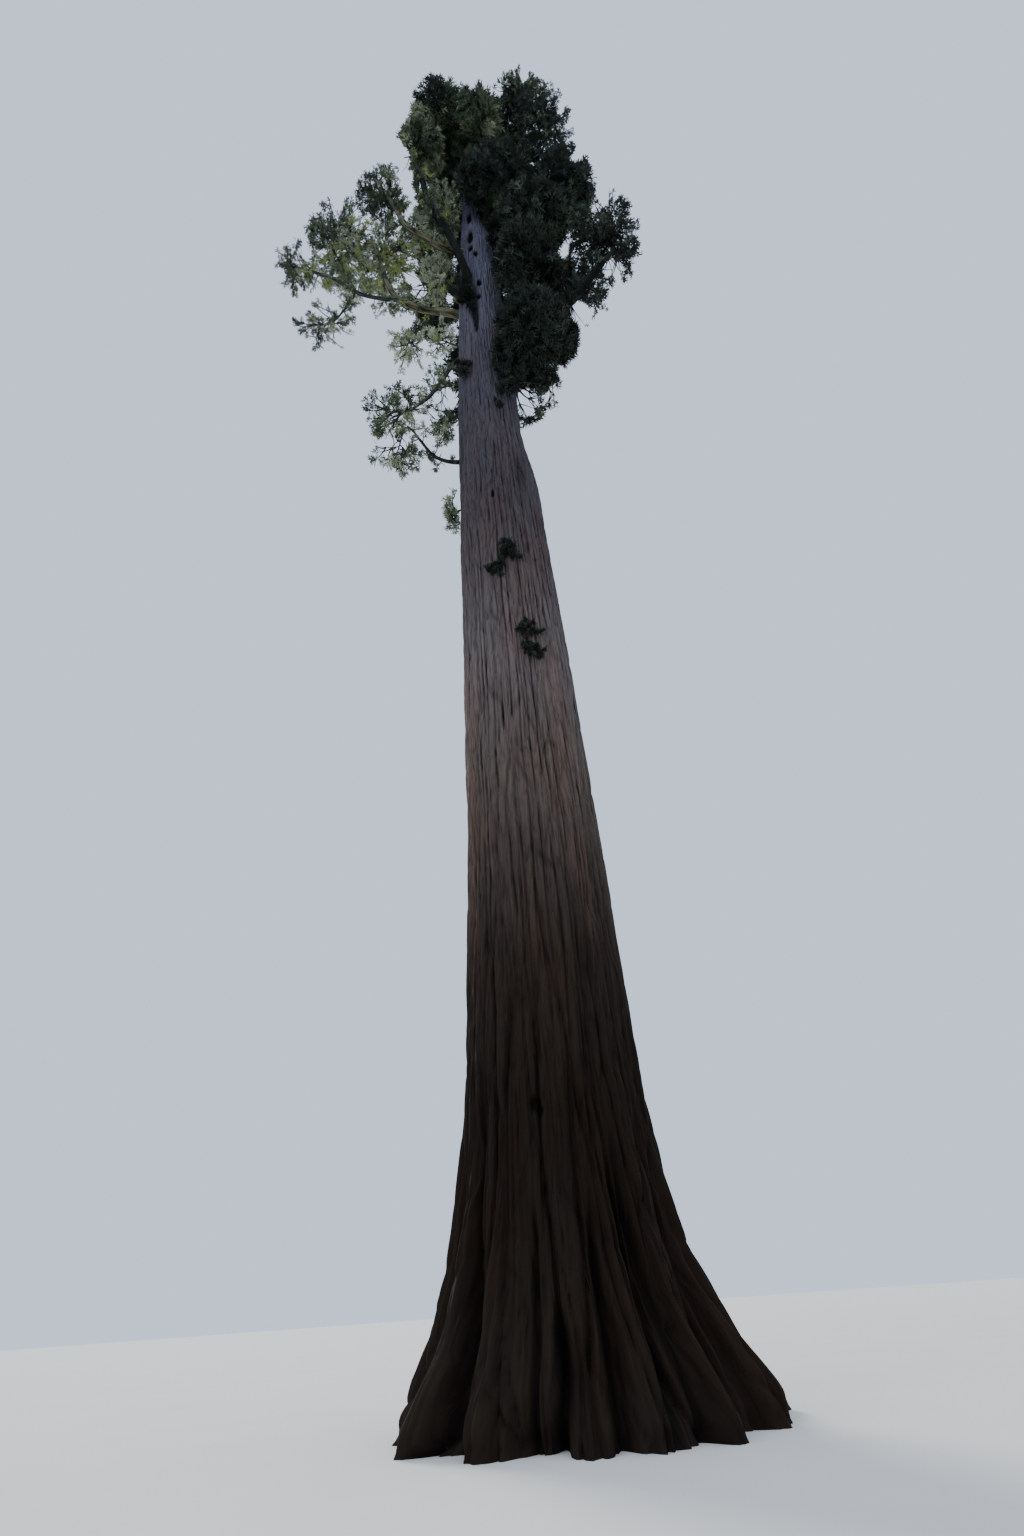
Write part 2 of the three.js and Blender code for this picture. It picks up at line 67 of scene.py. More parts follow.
# A node tree of a material or of Geometry Nodes
class Graph:
    def __init__(self, tree):
        self.tree = tree
        tree.nodes.clear()

    # kind, settings set first, values or links by socket name or number, and which output is wanted
    def node(self, kind, settings=None, values=None, output=0):
        made = self.tree.nodes.new(kind)
        for key, value in (settings or {}).items():
            if key == "stops":
                ramp = made.color_ramp
                while len(ramp.elements) < len(value):
                    ramp.elements.new(0.5)
                for element, (place, colour) in zip(ramp.elements, value):
                    element.position = place
                    element.color = (*colour, 1)
            else:
                setattr(made, key, value)
        for key, value in (values or {}).items():
            if isinstance(value, Value):
                self.tree.links.new(value.socket, made.inputs[key])
            else:
                made.inputs[key].default_value = value
        return Value(self, made.outputs[output]) if made.outputs else made

    def maths(self, operation, *values):
        return self.node("ShaderNodeMath", {"operation": operation}, dict(enumerate(values)))

    def mix(self, factor, one, two, blend="MIX"):
        one, two = [(*c, 1) if isinstance(c, tuple) else c for c in (one, two)]
        settings = {"data_type": "RGBA", "blend_type": blend}
        return self.node("ShaderNodeMix", settings, {0: factor, 6: one, 7: two}, 2)

    def times(self, colour, other):
        return self.mix(1.0, colour, other, "MULTIPLY")

    def tint(self, share, colour, other):  # a share of the colour times the other one
        return self.mix(share, colour, self.times(colour, other))

    def noise(self, place, scale, detail=3.0, roughness=0.55):
        return self.node("ShaderNodeTexNoise", None,
                         {"Vector": place, "Scale": scale, "Detail": detail, "Roughness": roughness}, "Fac")

    def stretched(self, place, scale):
        return self.node("ShaderNodeVectorMath", {"operation": "MULTIPLY"}, {0: place, 1: scale})

    def span(self, value, low, high):
        return self.node("ShaderNodeMapRange", {"interpolation_type": "SMOOTHSTEP"},
                         {"Value": value, "From Min": low, "From Max": high})


def newMaterial(name):
    material = bpy.data.materials.new(name)
    material.use_nodes = True
    return material, Graph(material.node_tree)


def endMaterial(graph, colour, roughness, normal=None, specular=0.3):
    values = {"Base Color": colour, "Roughness": roughness, "Specular IOR Level": specular}
    if normal is not None:
        values["Normal"] = normal
    surface = graph.node("ShaderNodeBsdfPrincipled", None, values)
    graph.node("ShaderNodeOutputMaterial", None, {"Surface": surface})


def linked(name, data):
    made = bpy.data.objects.new(name, data)
    bpy.context.scene.collection.objects.link(made)
    return made


def inRadians(angles):
    return [math.radians(angle) for angle in angles]


# Camera at the photograph's viewpoint near the foot, looking up
cameraValues = {"place": (0, -7.5, 0.77), "turn": (128.345372, 3.224918, 4.391379), "lens": 16, "sensor": 36,
                "farthest": 500}
camera = linked("camera", bpy.data.cameras.new("camera"))
camera.data.lens = cameraValues["lens"]
camera.data.sensor_width = cameraValues["sensor"]
camera.data.clip_end = cameraValues["farthest"]
camera.location = cameraValues["place"]
camera.rotation_euler = inRadians(cameraValues["turn"])
bpy.context.scene.camera = camera

# Soft light: pale all round, a broad low sun from behind on the left, weaker ones from the front and above
# Each sun: turn, strength, spread in degrees, colour
lightValues = {
    "world": (0.70, 0.82, 1.0), "worldStrength": 1.15,
    "suns": [("sun_behind", (55, 0, 205), 2.6, 18, (1, 0.94, 0.84)),
             ("sun_front", (50, 0, -35), 0.9, 50, (0.93, 0.96, 1)),
             ("sun_above", (15, 0, 60), 0.7, 60, (0.95, 0.97, 1))]
}
world = bpy.data.worlds.new("studio")
bpy.context.scene.world = world
world.use_nodes = True
background = world.node_tree.nodes["Background"].inputs
background["Color"].default_value = (*lightValues["world"], 1)
background["Strength"].default_value = lightValues["worldStrength"]
for name, turn, energy, spread, colour in lightValues["suns"]:
    sun = linked(name, bpy.data.lights.new(name, "SUN"))
    sun.data.energy = energy
    sun.data.angle = math.radians(spread)
    sun.data.color = colour
    sun.rotation_euler = inRadians(turn)


def newPiece(name, points, faces, material, smooth=True):
    mesh = bpy.data.meshes.new(name)
    mesh.from_pydata(np.asarray(points).tolist(), [], faces)
    mesh.polygons.foreach_set("use_smooth", [smooth] * len(mesh.polygons))
    mesh.materials.append(material)
    return linked(name, mesh)


# One attribute of the points for each name: whole numbers, numbers or vectors
def addAttributes(piece, **layers):
    for name, values in layers.items():
        whole, vector = values.dtype.kind == "i", values.ndim == 2
        kind = "INT" if whole else "FLOAT_VECTOR" if vector else "FLOAT"
        layer = piece.data.attributes.new(name, kind, "POINT")
        values = values.astype(np.int32 if whole else np.float32)
        layer.data.foreach_set("vector" if vector else "value", values.ravel())


def dress(piece, slot, *nodes):
    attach(piece, "root")
    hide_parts(*nodes)


# Floor, a flat disc
floorValues = {"radius": 160, "corners": 64, "colour": (0.62, 0.61, 0.58), "speck": (0.56, 0.55, 0.53)}
floorMaterial, graph = newMaterial("floor_pale")
speckle = graph.noise(graph.node("ShaderNodeTexCoord", output="Object"), 0.8)
endMaterial(graph, graph.mix(speckle, floorValues["colour"], floorValues["speck"]), 0.9)
turns = [math.tau * k / floorValues["corners"] for k in range(floorValues["corners"])]
rim = [(floorValues["radius"] * math.cos(turn), floorValues["radius"] * math.sin(turn), 0) for turn in turns]
newPiece("floor", rim, [list(range(len(rim)))], floorMaterial, smooth=False)
print("camera, lights and floor ready")


def smoothStep(low, high, value):
    share = np.clip((value - low) / (high - low), 0, 1)
    return share * share * (3 - 2 * share)


# Two numbers in 0..1 for each point of a lattice
def scattered(column, row, seed):
    one = np.sin(column * 127.1 + row * 311.7 + seed * 74.7) * 43758.5453
    two = np.sin(column * 269.5 + row * 183.3 + seed * 51.3) * 43758.5453
    return one - np.floor(one), two - np.floor(two)


# Smooth noise from -1 to 1 that comes round after `around` cells
def softNoise(across, along, around, seed):
    column, row = np.floor(across), np.floor(along)
    a, b = across - column, along - row
    a, b = a * a * (3 - 2 * a), b * b * (3 - 2 * b)
    corner = [[scattered(np.mod(column + i, around), row + j, seed)[0] for j in (0, 1)] for i in (0, 1)]
    low = corner[0][0] * (1 - a) + corner[1][0] * a
    high = corner[0][1] * (1 - a) + corner[1][1] * a
    return 2 * (low * (1 - b) + high * b) - 1


# How far each point is from the edge of its bark plate: 0 on the edge
def plateEdge(across, along, around, seed):
    column, row = np.floor(across), np.floor(along)
    first = np.full(across.shape, 9.0)
    second = first.copy()
    for i in (-1, 0, 1):
        for j in (-1, 0, 1):
            a, b = scattered(np.mod(column + i, around), row + j, seed)
            away = np.hypot(column + i + a - across, row + j + b - along)
            second = np.minimum(second, np.maximum(first, away))
            first = np.minimum(first, away)
    return second - first


# Degrees from one heading to another, from -180 to 180
def turnFrom(one, two):
    return np.mod(two - one + 180, 360) - 180


# Trunk: the same taper, lean, flare and ridges as its solid
trunkShape = {
    "fullHeight": 40.0, "top": 37.7, "bodyRadius": 0.84, "taper": 2.2,
    "flareDepth": 0.74, "flareHeight": 0.82, "flareShares": (0.72, 0.45),  # between ridges, more on one
    "flute": (0.034, 7, 0.4),  # depth, height over which it fades, share taken off between ridges
    "ridges": [(-80, 16, 0.8), (-53, 13, 0.95), (-30, 14, 0.85), (1, 13, 0.7), (19, 10, 0.8), (38, 12, 0.95),
               (66, 17, 0.95), (97, 15, 0.8), (125, 16, 1), (154, 15, 0.8), (-177, 16, 1), (-146, 15, 0.85),
               (-112, 17, 1)],  # heading, half-width in degrees, strength
    "swell": (13.9, 0.9, 0.025),  # height, spread, depth, on the right
    "step": (12.9, 15.3, 20.5, 0.13),  # start, full and end height, depth, on the right
    "lean": (-0.18, 14), "forward": (-1.2, 38, 1.5), "sway": (0.26, 1.5, 0.9)
}


def middleAt(height):
    height = np.asarray(height, dtype=float)
    lean, leanHeight = trunkShape["lean"]
    forward, forwardHeight, curve = trunkShape["forward"]
    size, rise, fade = trunkShape["sway"]
    across = lean * (1 - np.exp(-((height / leanHeight) ** 2)))
    sway = -size * (height / rise) ** 2 * np.exp(-height / fade)
    return np.stack([across + sway, forward * (height / forwardHeight) ** curve, height], axis=-1)


def ridgeAt(heading):
    best = np.zeros_like(heading)
    for middle, width, strength in trunkShape["ridges"]:
        away = np.abs(turnFrom(middle, heading)) / width
        best = np.maximum(best, np.where(away < 1, strength * 0.5 * (1 + np.cos(np.pi * away)), 0))
    return best


def trunkRadius(height, heading):
    ridge = ridgeAt(heading)
    body = trunkShape["bodyRadius"] * (1 - (height / trunkShape["fullHeight"]) ** trunkShape["taper"])
    between, onRidge = trunkShape["flareShares"]
    fade = np.exp(-height / trunkShape["flareHeight"])
    flare = trunkShape["flareDepth"] * fade * (between + onRidge * ridge)
    depth, fade, least = trunkShape["flute"]
    flute = depth * np.exp(-height / fade) * (ridge - least)
    side = np.maximum(0, np.sin(np.radians(heading))) ** 1.5
    middle, spread, depth = trunkShape["swell"]
    swell = depth * np.exp(-(((height - middle) / spread) ** 2))
    start, full, end, depth = trunkShape["step"]
    step = depth * smoothStep(start, full, height) * (1 - smoothStep(full, end, height))
    return body + flare + flute + side * (swell - step)


# What a user would change of the bark. Each layer: how many round the trunk, length and depth in metres,
# how far the common warp moves it, its own sway (size, cells round, cells a metre), seeds of sway and cells
barkRelief = {
    "ribs": {"count": 31, "length": 2.9, "depth": 0.115, "warp": 0.34,
             "sway": (0.16, 25, 1.1), "seeds": (4, 11)},
    "plates": {"count": 47, "length": 1.5, "depth": 0.026, "warp": 0.6,
               "sway": (0.2, 29, 0.9), "seeds": (5, 12)},
    "cracks": {"count": 52, "length": 0.9, "depth": 0.016, "warp": 0.5,
               "sway": (0.22, 23, 0.8), "seeds": (22, 21)},
    "toes": {"count": 31, "length": 1.3, "depth": 0.10, "warp": 0,
             "sway": (0.35, 17, 1.3), "seeds": (23, 24)},
    "strips": {"count": 118, "length": 0.5, "depth": 0.010, "warp": 0.9,
               "sway": (0.3, 56, 1.7), "seeds": (9, 13)},
    "ribFade": 3.0, "ribLeast": 0.10, "outward": 0.42, "toeFade": 1.0, "tuck": 0.07, "lump": 0.016,
    "footLump": 0.055, "wander": 4.5,
    # how much painted shade darkens the marks, and at most
    "markShade": (1.5, 1.5), "pitShade": (2.2, 1.34), "limbShadowShade": (1.36, 1.36), "stepHollowShade": (0.7, 0.7),
    # height and heading of each point, half-width in degrees, depth
    "creases": [([(0, 22), (0.42, 26), (0.95, 27), (1.7, 26)], 2.8, 0.15),
                ([(0.05, -8), (0.27, -6.5), (0.74, -5.2)], 2.6, 0.16),
                ([(0.0, 9), (0.5, 10), (1.02, 11.2), (1.5, 14.2)], 2.2, 0.12),
                ([(0.0, -49), (0.09, -45), (0.8, -46.5), (1.51, -48), (2.3, -48.5)], 2.2, 0.13),
                ([(0.0, -17), (0.5, -16), (1.4, -15)], 1.3, 0.07),
                ([(0.0, 33), (0.6, 33.5), (1.9, 31)], 2.1, 0.12)],
    "hollow": {"heading": 47, "width": 7, "height": 0.75, "depth": 0.18},
    # height, heading, half-height, half-width in metres, depth; the holes are darkened with painted shade
    "pits": [(2.18, -10.9, 0.06, 0.05, 0.04), (2.12, -8.6, 0.045, 0.04, 0.03),
             (32.1, -19.6, 0.42, 0.075, 0.14), (30.6, -22.0, 0.38, 0.09, 0.14),
             (28.6, -20.4, 0.48, 0.085, 0.15), (26.7, -19.4, 0.58, 0.10, 0.16),
             (25.6, -18.5, 0.24, 0.08, 0.12), (22.6, 2.0, 0.22, 0.07, 0.09),
             (21.7, -2.0, 0.18, 0.06, 0.08), (25.0, -1.5, 0.24, 0.06, 0.09), (12.2, -8, 0.12, 0.03, 0.03)],
    # height, heading, half-width in metres up the dark wedge below the front limb: a shallow cut darkened
    # with painted shadow
    "limbShadow": {"line": [(19.6, -13, 0.04), (20.3, -14, 0.10), (21.3, -19, 0.18), (22.4, -30, 0.26),
                      (23.4, -42, 0.28)],
             "depth": 0.09},
    # the hollow at the step on the right, darkened with painted shade
    "stepHollow": {"height": 13.1, "heading": 36, "tall": 0.75, "wide": 11, "depth": 0.03}
}


# Push along the surface's normal, and how deep in a furrow each point is: 0 to 1, more in the marks; the bark
# material darkens by it as painted shade
def barkAt(height, heading):
    turnShare = heading / 360
    radius = trunkRadius(height, heading)
    slim = np.clip(radius / trunkShape["bodyRadius"], 0.2, 1.5)
    near = np.exp(-height / barkRelief["ribFade"])
    low = np.exp(-height / barkRelief["toeFade"])
    warp = softNoise(turnShare * 12, height * 0.22, 12, 3)
    layers = ("ribs", "plates", "cracks", "toes", "strips")
    ribs, plates, cracks, toes, strips = (barkRelief[layer] for layer in layers)

    def acrossOf(layer):
        size, around, rate = layer["sway"]
        sway = size * softNoise(turnShare * around, height * rate, around, layer["seeds"][0])
        return turnShare * layer["count"] + layer["warp"] * warp + sway

    def edgeOf(layer, drift=0):
        return plateEdge(acrossOf(layer), height / layer["length"] + drift, layer["count"], layer["seeds"][1])

    edge = edgeOf(ribs, 0.3 * softNoise(turnShare * 16, height * 0.9, 16, 10))
    rib = 1 - (1 - np.clip(edge / 0.42, 0, 1)) ** 2.4
    ribDepth = ribs["depth"] * (barkRelief["ribLeast"] + (1 - barkRelief["ribLeast"]) * near)
    push = ribDepth * (rib - 1 + barkRelief["outward"])
    deep = (0.25 + 0.75 * near) * np.exp(-edge / (0.09 + 0.07 * near))
    edge = edgeOf(plates)
    push = push - slim * plates["depth"] * (np.exp(-edge / 0.13) - 0.3)
    deep = np.maximum(deep, (0.18 + 0.52 * near) * np.exp(-edge / 0.085))
    # long upright cracks, each with its ends
    across = acrossOf(cracks)
    column = np.floor(across)
    around, seed = np.mod(column, cracks["count"]), cracks["seeds"][1]
    away = across - column - 0.5 - 0.5 * (scattered(around, 5, seed)[0] - 0.5)
    cracked = smoothStep(-0.25, 0.15, softNoise(around, height / cracks["length"], cracks["count"], seed))
    cut = np.exp(-((away / 0.11) ** 2)) * cracked
    push, deep = push - slim * cracks["depth"] * cut, np.maximum(deep, 0.85 * cut)
    # rounded toes where the trunk meets the ground
    edge = edgeOf(toes)
    toe = np.sqrt(1 - (1 - np.clip(edge / 0.5, 0, 1)) ** 2)
    push = push + toes["depth"] * low * (toe - 0.75)
    push = push + barkRelief["footLump"] * low * softNoise(turnShare * 27, height * 3.1, 27, 25)
    push = push - barkRelief["tuck"] * np.exp(-((height / 0.09) ** 2))
    deep = np.maximum(deep, 0.8 * low * np.exp(-edge / 0.15))
    # fine strips and lumps
    edge = edgeOf(strips)
    push = push - slim * strips["depth"] * np.exp(-edge / 0.2)
    deep = np.maximum(deep, (0.22 + 0.25 * near) * np.exp(-edge / 0.11))
    lump = softNoise(turnShare * 22, height * 0.7, 22, 6)
    lump = lump + 0.5 * softNoise(turnShare * 60, height * 2.2, 60, 7)
    push = push + slim * barkRelief["lump"] * lump
    for depth, cut, dark, darkest in marksAt(height, heading, radius):
        push = push - depth * cut
        deep = np.maximum(deep, np.minimum(dark * cut, darkest))
    return push, deep


# The marks of this trunk: depth, where it is from 0 to 1, how much painted shade, and how much at most
def marksAt(height, heading, radius):
    marks = []
    for spots, width, depth in barkRelief["creases"]:
        heights, headings = np.array(spots).T
        away = turnFrom(np.interp(height, heights, headings), heading)
        inside = 1 - smoothStep(heights[-1] * 0.7, heights[-1] * 1.15, height)
        marks.append((depth, np.exp(-((away / width) ** 2)) * inside, *barkRelief["markShade"]))
    hollow = barkRelief["hollow"]
    away = (heading - hollow["heading"]) / hollow["width"]
    cut = np.exp(-(away ** 2) - (height / hollow["height"]) ** 2)
    marks.append((hollow["depth"], cut, *barkRelief["markShade"]))
    for middle, facing, halfHeight, halfWidth, depth in barkRelief["pits"]:
        away = np.radians(turnFrom(facing, heading)) * radius
        cut = np.exp(-((((height - middle) / halfHeight) ** 2 + (away / halfWidth) ** 2) ** 2.4))
        marks.append((depth, cut, *barkRelief["pitShade"]))
    heights, headings, widths = np.array(barkRelief["limbShadow"]["line"]).T
    away = np.radians(turnFrom(np.interp(height, heights, headings), heading)) * radius
    ends = smoothStep(heights[0] - 0.3, heights[0], height)
    ends = ends * (1 - smoothStep(heights[-1], heights[-1] + 0.3, height))
    cut = np.exp(-np.abs(away / np.interp(height, heights, widths)) ** 3) * ends
    marks.append((barkRelief["limbShadow"]["depth"], cut, *barkRelief["limbShadowShade"]))
    stepHollow = barkRelief["stepHollow"]
    rise, away = (height - stepHollow["height"]) / stepHollow["tall"], (heading - stepHollow["heading"]) / stepHollow["wide"]
    marks.append((stepHollow["depth"], np.exp(-(rise ** 2) - away ** 2), *barkRelief["stepHollowShade"]))
    return marks


# Bark of trunk and boughs: colour by share of the height, mixing the bark's own tone with painted shade at
# the foot and painted light up the trunk; painted shade in furrows, grooves and marks; grey faces, fibres
# along the grain
barkColours = {
    # Colour at each share of the height: the reddish brown low and grey-lavender high are the bark's own; the
    # near-black foot stops are partly painted shade, the lighter upper stops partly painted light
    "heights": [(0.0, (0.0160, 0.0112, 0.0080)), (0.03, (0.0124, 0.0086, 0.0060)),
                (0.058, (0.0112, 0.0078, 0.0055)), (0.09, (0.021, 0.0154, 0.0118)),
                (0.145, (0.074, 0.058, 0.049)), (0.20, (0.092, 0.076, 0.073)), (0.30, (0.046, 0.039, 0.042)),
                (0.46, (0.049, 0.047, 0.063)), (0.56, (0.069, 0.071, 0.100)), (0.75, (0.080, 0.083, 0.124))],
    "warm": (1.25, 0.90, 0.76), "cool": (0.88, 0.98, 1.06), "crack": (0.40, 0.37, 0.36)
}


def barkMaterial(name, tone, bumpDepth):
    material, graph = newMaterial(name)
    grain = graph.node("ShaderNodeAttribute", {"attribute_name": "grain"}, output="Vector")
    furrow = graph.node("ShaderNodeAttribute", {"attribute_name": "furrow"}, output="Fac")
    place = graph.node("ShaderNodeTexCoord", output="Object")
    height = graph.node("ShaderNodeSeparateXYZ", None, {0: place}, "Z") * (1 / trunkShape["fullHeight"])
    bent = graph.stretched(grain, (1, 1, 0.5))
    bent = graph.node("ShaderNodeTexNoise", None, {"Vector": bent, "Scale": 2.2}, "Color")
    bent = graph.node("ShaderNodeVectorMath", {"operation": "MULTIPLY_ADD"},
                      {0: bent, 1: (0.16, 0.16, 0.5), 2: grain})
    plates, slivers = [
        graph.node("ShaderNodeTexVoronoi", {"feature": "DISTANCE_TO_EDGE"},
                   {"Vector": graph.stretched(bent, (1, 1, along)), "Scale": scale}, "Distance")
        for scale, along in ((6.5, 0.085), (15, 0.08))]
    groove, slit = graph.span(plates, 0.08, 0.0), graph.span(slivers, 0.10, 0.0)
    fibre = graph.noise(graph.stretched(grain, (1, 1, 0.05)), 42, 5, 0.62)
    strand = graph.noise(graph.stretched(grain, (1, 1, 0.035)), 11, 4, 0.6)
    patch = graph.noise(graph.stretched(grain, (1, 1, 0.3)), 1.7, 3, 0.5)
    colour = graph.node("ShaderNodeValToRGB", {"stops": barkColours["heights"]},
                        {0: height + (patch - 0.5) * 0.05}, "Color")
    colour = graph.times(colour, tone)
    colour = graph.tint(graph.span(patch, 0.40, 0.62) * 0.4, colour, barkColours["warm"])
    colour = graph.tint(graph.span(strand, 0.48, 0.68) * 0.5, colour, barkColours["cool"])
    # Painted shade: darker in furrows, marks and the grooves between plates, weaker near the foot; fibre and
    # strand add the bark's own grain
    calm = graph.span(height, 0.03, 0.17) * 0.5 + 0.5
    shade = 0.42 - furrow * 1.02 - (1 - fibre) * 0.28 + (strand - 0.5) * 0.4 - groove * 0.34 - slit * 0.24
    shade = 1.0 + shade * calm
    colour = graph.times(colour, graph.node("ShaderNodeCombineColor", None, dict.fromkeys(range(3), shade)))
    colour = graph.tint(graph.span(fibre, 0.38, 0.30) * 0.7, colour, barkColours["crack"])
    relief = fibre * 0.5 + strand * 0.6 + graph.span(plates, 0.0, 0.22) * 1.1
    relief = relief + graph.span(slivers, 0.0, 0.25) * 0.5
    normal = graph.node("ShaderNodeBump", None, {"Strength": 0.7, "Distance": bumpDepth, "Height": relief})
    endMaterial(graph, colour, 0.84 + fibre * 0.12, normal, 0.08)
    return material


# Trunk bark in its own tone; the bough copies differ only in tone, painted light on the left boughs and
# painted shade on those inside the crown
trunkBark = barkMaterial("trunk_bark", (1.08, 1.08, 1.10), 0.032)
litBoughBark = barkMaterial("bough_bark", (1.7, 1.62, 0.75), 0.012)
dimBark = barkMaterial("bough_bark_dim", (0.95, 1.0, 0.75), 0.012)
shadedBark = barkMaterial("bough_bark_shaded", (0.085, 0.095, 0.062), 0.012)


# Bark of the thin branches and twigs, whose pattern follows the place
def twigMaterial(name, light, dark):
    material, graph = newMaterial(name)
    place = graph.node("ShaderNodeTexCoord", output="Object")
    flecks, patch = graph.noise(place, 46, 4, 0.65), graph.noise(place, 5, 2, 0.5)
    colour = graph.mix(graph.span(flecks, 0.36, 0.62), dark, light)
    colour = graph.tint(patch, colour, (0.62, 0.60, 0.55))
    normal = graph.node("ShaderNodeBump", None, {"Strength": 0.6, "Distance": 0.006, "Height": flecks})
    endMaterial(graph, colour, 0.80 + flecks * 0.15, normal, 0.2)
    return material


# Lit and shaded copies of the twig bark: painted light on the left and low twigs, painted shade on the rest
litTwigBark = twigMaterial("twig_bark", (0.070, 0.066, 0.048), (0.024, 0.022, 0.017))
shadedTwigBark = twigMaterial("twig_bark_shaded", (0.020, 0.018, 0.014), (0.009, 0.008, 0.007))


# Numbers of the points in a net that closes round, the same one step to the right, and its quads
def netOf(rows, around):
    net = np.arange(rows * around).reshape(rows, around)
    right = np.roll(net, -1, axis=1)
    quads = np.stack([net[:-1], right[:-1], right[1:], net[1:]], axis=-1).reshape(-1, 4).tolist()
    return net, right, quads


def fan(centre, one, two):  # triangles from a point to a ring
    return [[centre, int(a), int(b)] for a, b in zip(one, two)]


# The trunk's skin as one net of points, cut into pieces by height: from, to, gap of rows, step of columns
trunkNet = {"columns": 448, "pieces": [
    ("bark_trunk_foot", 0.0, 2.4, 0.026, 1), ("bark_trunk_low", 2.4, 6.4, 0.036, 1),
    ("bark_trunk_middle", 6.4, 12.4, 0.05, 1), ("bark_trunk_high", 12.4, 24.0, 0.062, 2),
    ("bark_trunk_top", 24.0, 37.7, 0.062, 2)]}


def buildTrunk():
    columns = trunkNet["columns"]
    heights, cuts = [0.0], [0]
    for _, low, high, gap, _ in trunkNet["pieces"]:
        heights += list(np.linspace(low, high, round((high - low) / gap) + 1)[1:])
        cuts.append(len(heights) - 1)
    heights = np.array(heights)
    headings = np.arange(columns) * (360 / columns)
    height, heading = np.meshgrid(heights, headings, indexing="ij")
    push, deep = barkAt(height, heading)
    wander = barkRelief["wander"] * softNoise(heading / 45, height * 0.9, 8, 26)
    wander = wander * smoothStep(0.1, 0.8, height)
    radius = trunkRadius(height, heading + wander * np.exp(-height / 3)) + push
    angle = np.radians(heading)
    points = middleAt(height)
    points[..., 0] += radius * np.sin(angle)
    points[..., 1] -= radius * np.cos(angle)
    for (*_, one), (*_, two), ring in zip(trunkNet["pieces"], trunkNet["pieces"][1:], cuts[1:]):
        if one != two:  # a ring where the finer net meets the coarser one
            points[ring, 1::2] = (points[ring, 0::2] + np.roll(points[ring, 0::2], -1, axis=0)) / 2
    sideways = np.roll(points, -1, axis=1) - np.roll(points, 1, axis=1)
    upwards = np.gradient(points, axis=0)
    normals = np.cross(sideways, upwards)
    normals /= np.linalg.norm(normals, axis=-1, keepdims=True)
    climb = np.concatenate([[0], np.cumsum(np.hypot(np.diff(radius.mean(axis=1)), np.diff(heights)))])
    climb = np.repeat(climb[:, None], columns, 1)
    grain = np.stack([0.95 * np.sin(angle), -0.95 * np.cos(angle), climb], axis=-1)
    for (name, *_, step), low, high in zip(trunkNet["pieces"], cuts, cuts[1:]):
        part = (slice(low, high + 1), slice(None, None, step))
        rows, around = high - low + 1, columns // step
        net, _, faces = netOf(rows, around)
        skin, ends = points[part].reshape(-1, 3), []
        if low == 0:
            ends.append((0, -1, net[0][::-1]))
        if high == len(heights) - 1:
            ends.append((rows - 1, 1, net[-1]))
        normal = normals[part].reshape(-1, 3)
        furrow, along = deep[part].ravel(), grain[part].reshape(-1, 3)
        for row, facing, ring in ends:
            centre = len(skin)
            skin = np.vstack([skin, middleAt(heights[low + row])])
            normal = np.vstack([normal, (0, 0, facing)])
            furrow, along = np.append(furrow, 0), np.vstack([along, (0, 0, 0)])
            faces += fan(centre, ring, np.roll(ring, -1))
        piece = newPiece(name, skin, faces, trunkBark)
        addAttributes(piece, furrow=furrow, grain=along)
        piece.data.normals_split_custom_set_from_vertices(normal.tolist())
        dress(piece, "trunk_bark", "trunk")
        print(name, len(piece.data.polygons), "faces")


buildTrunk()

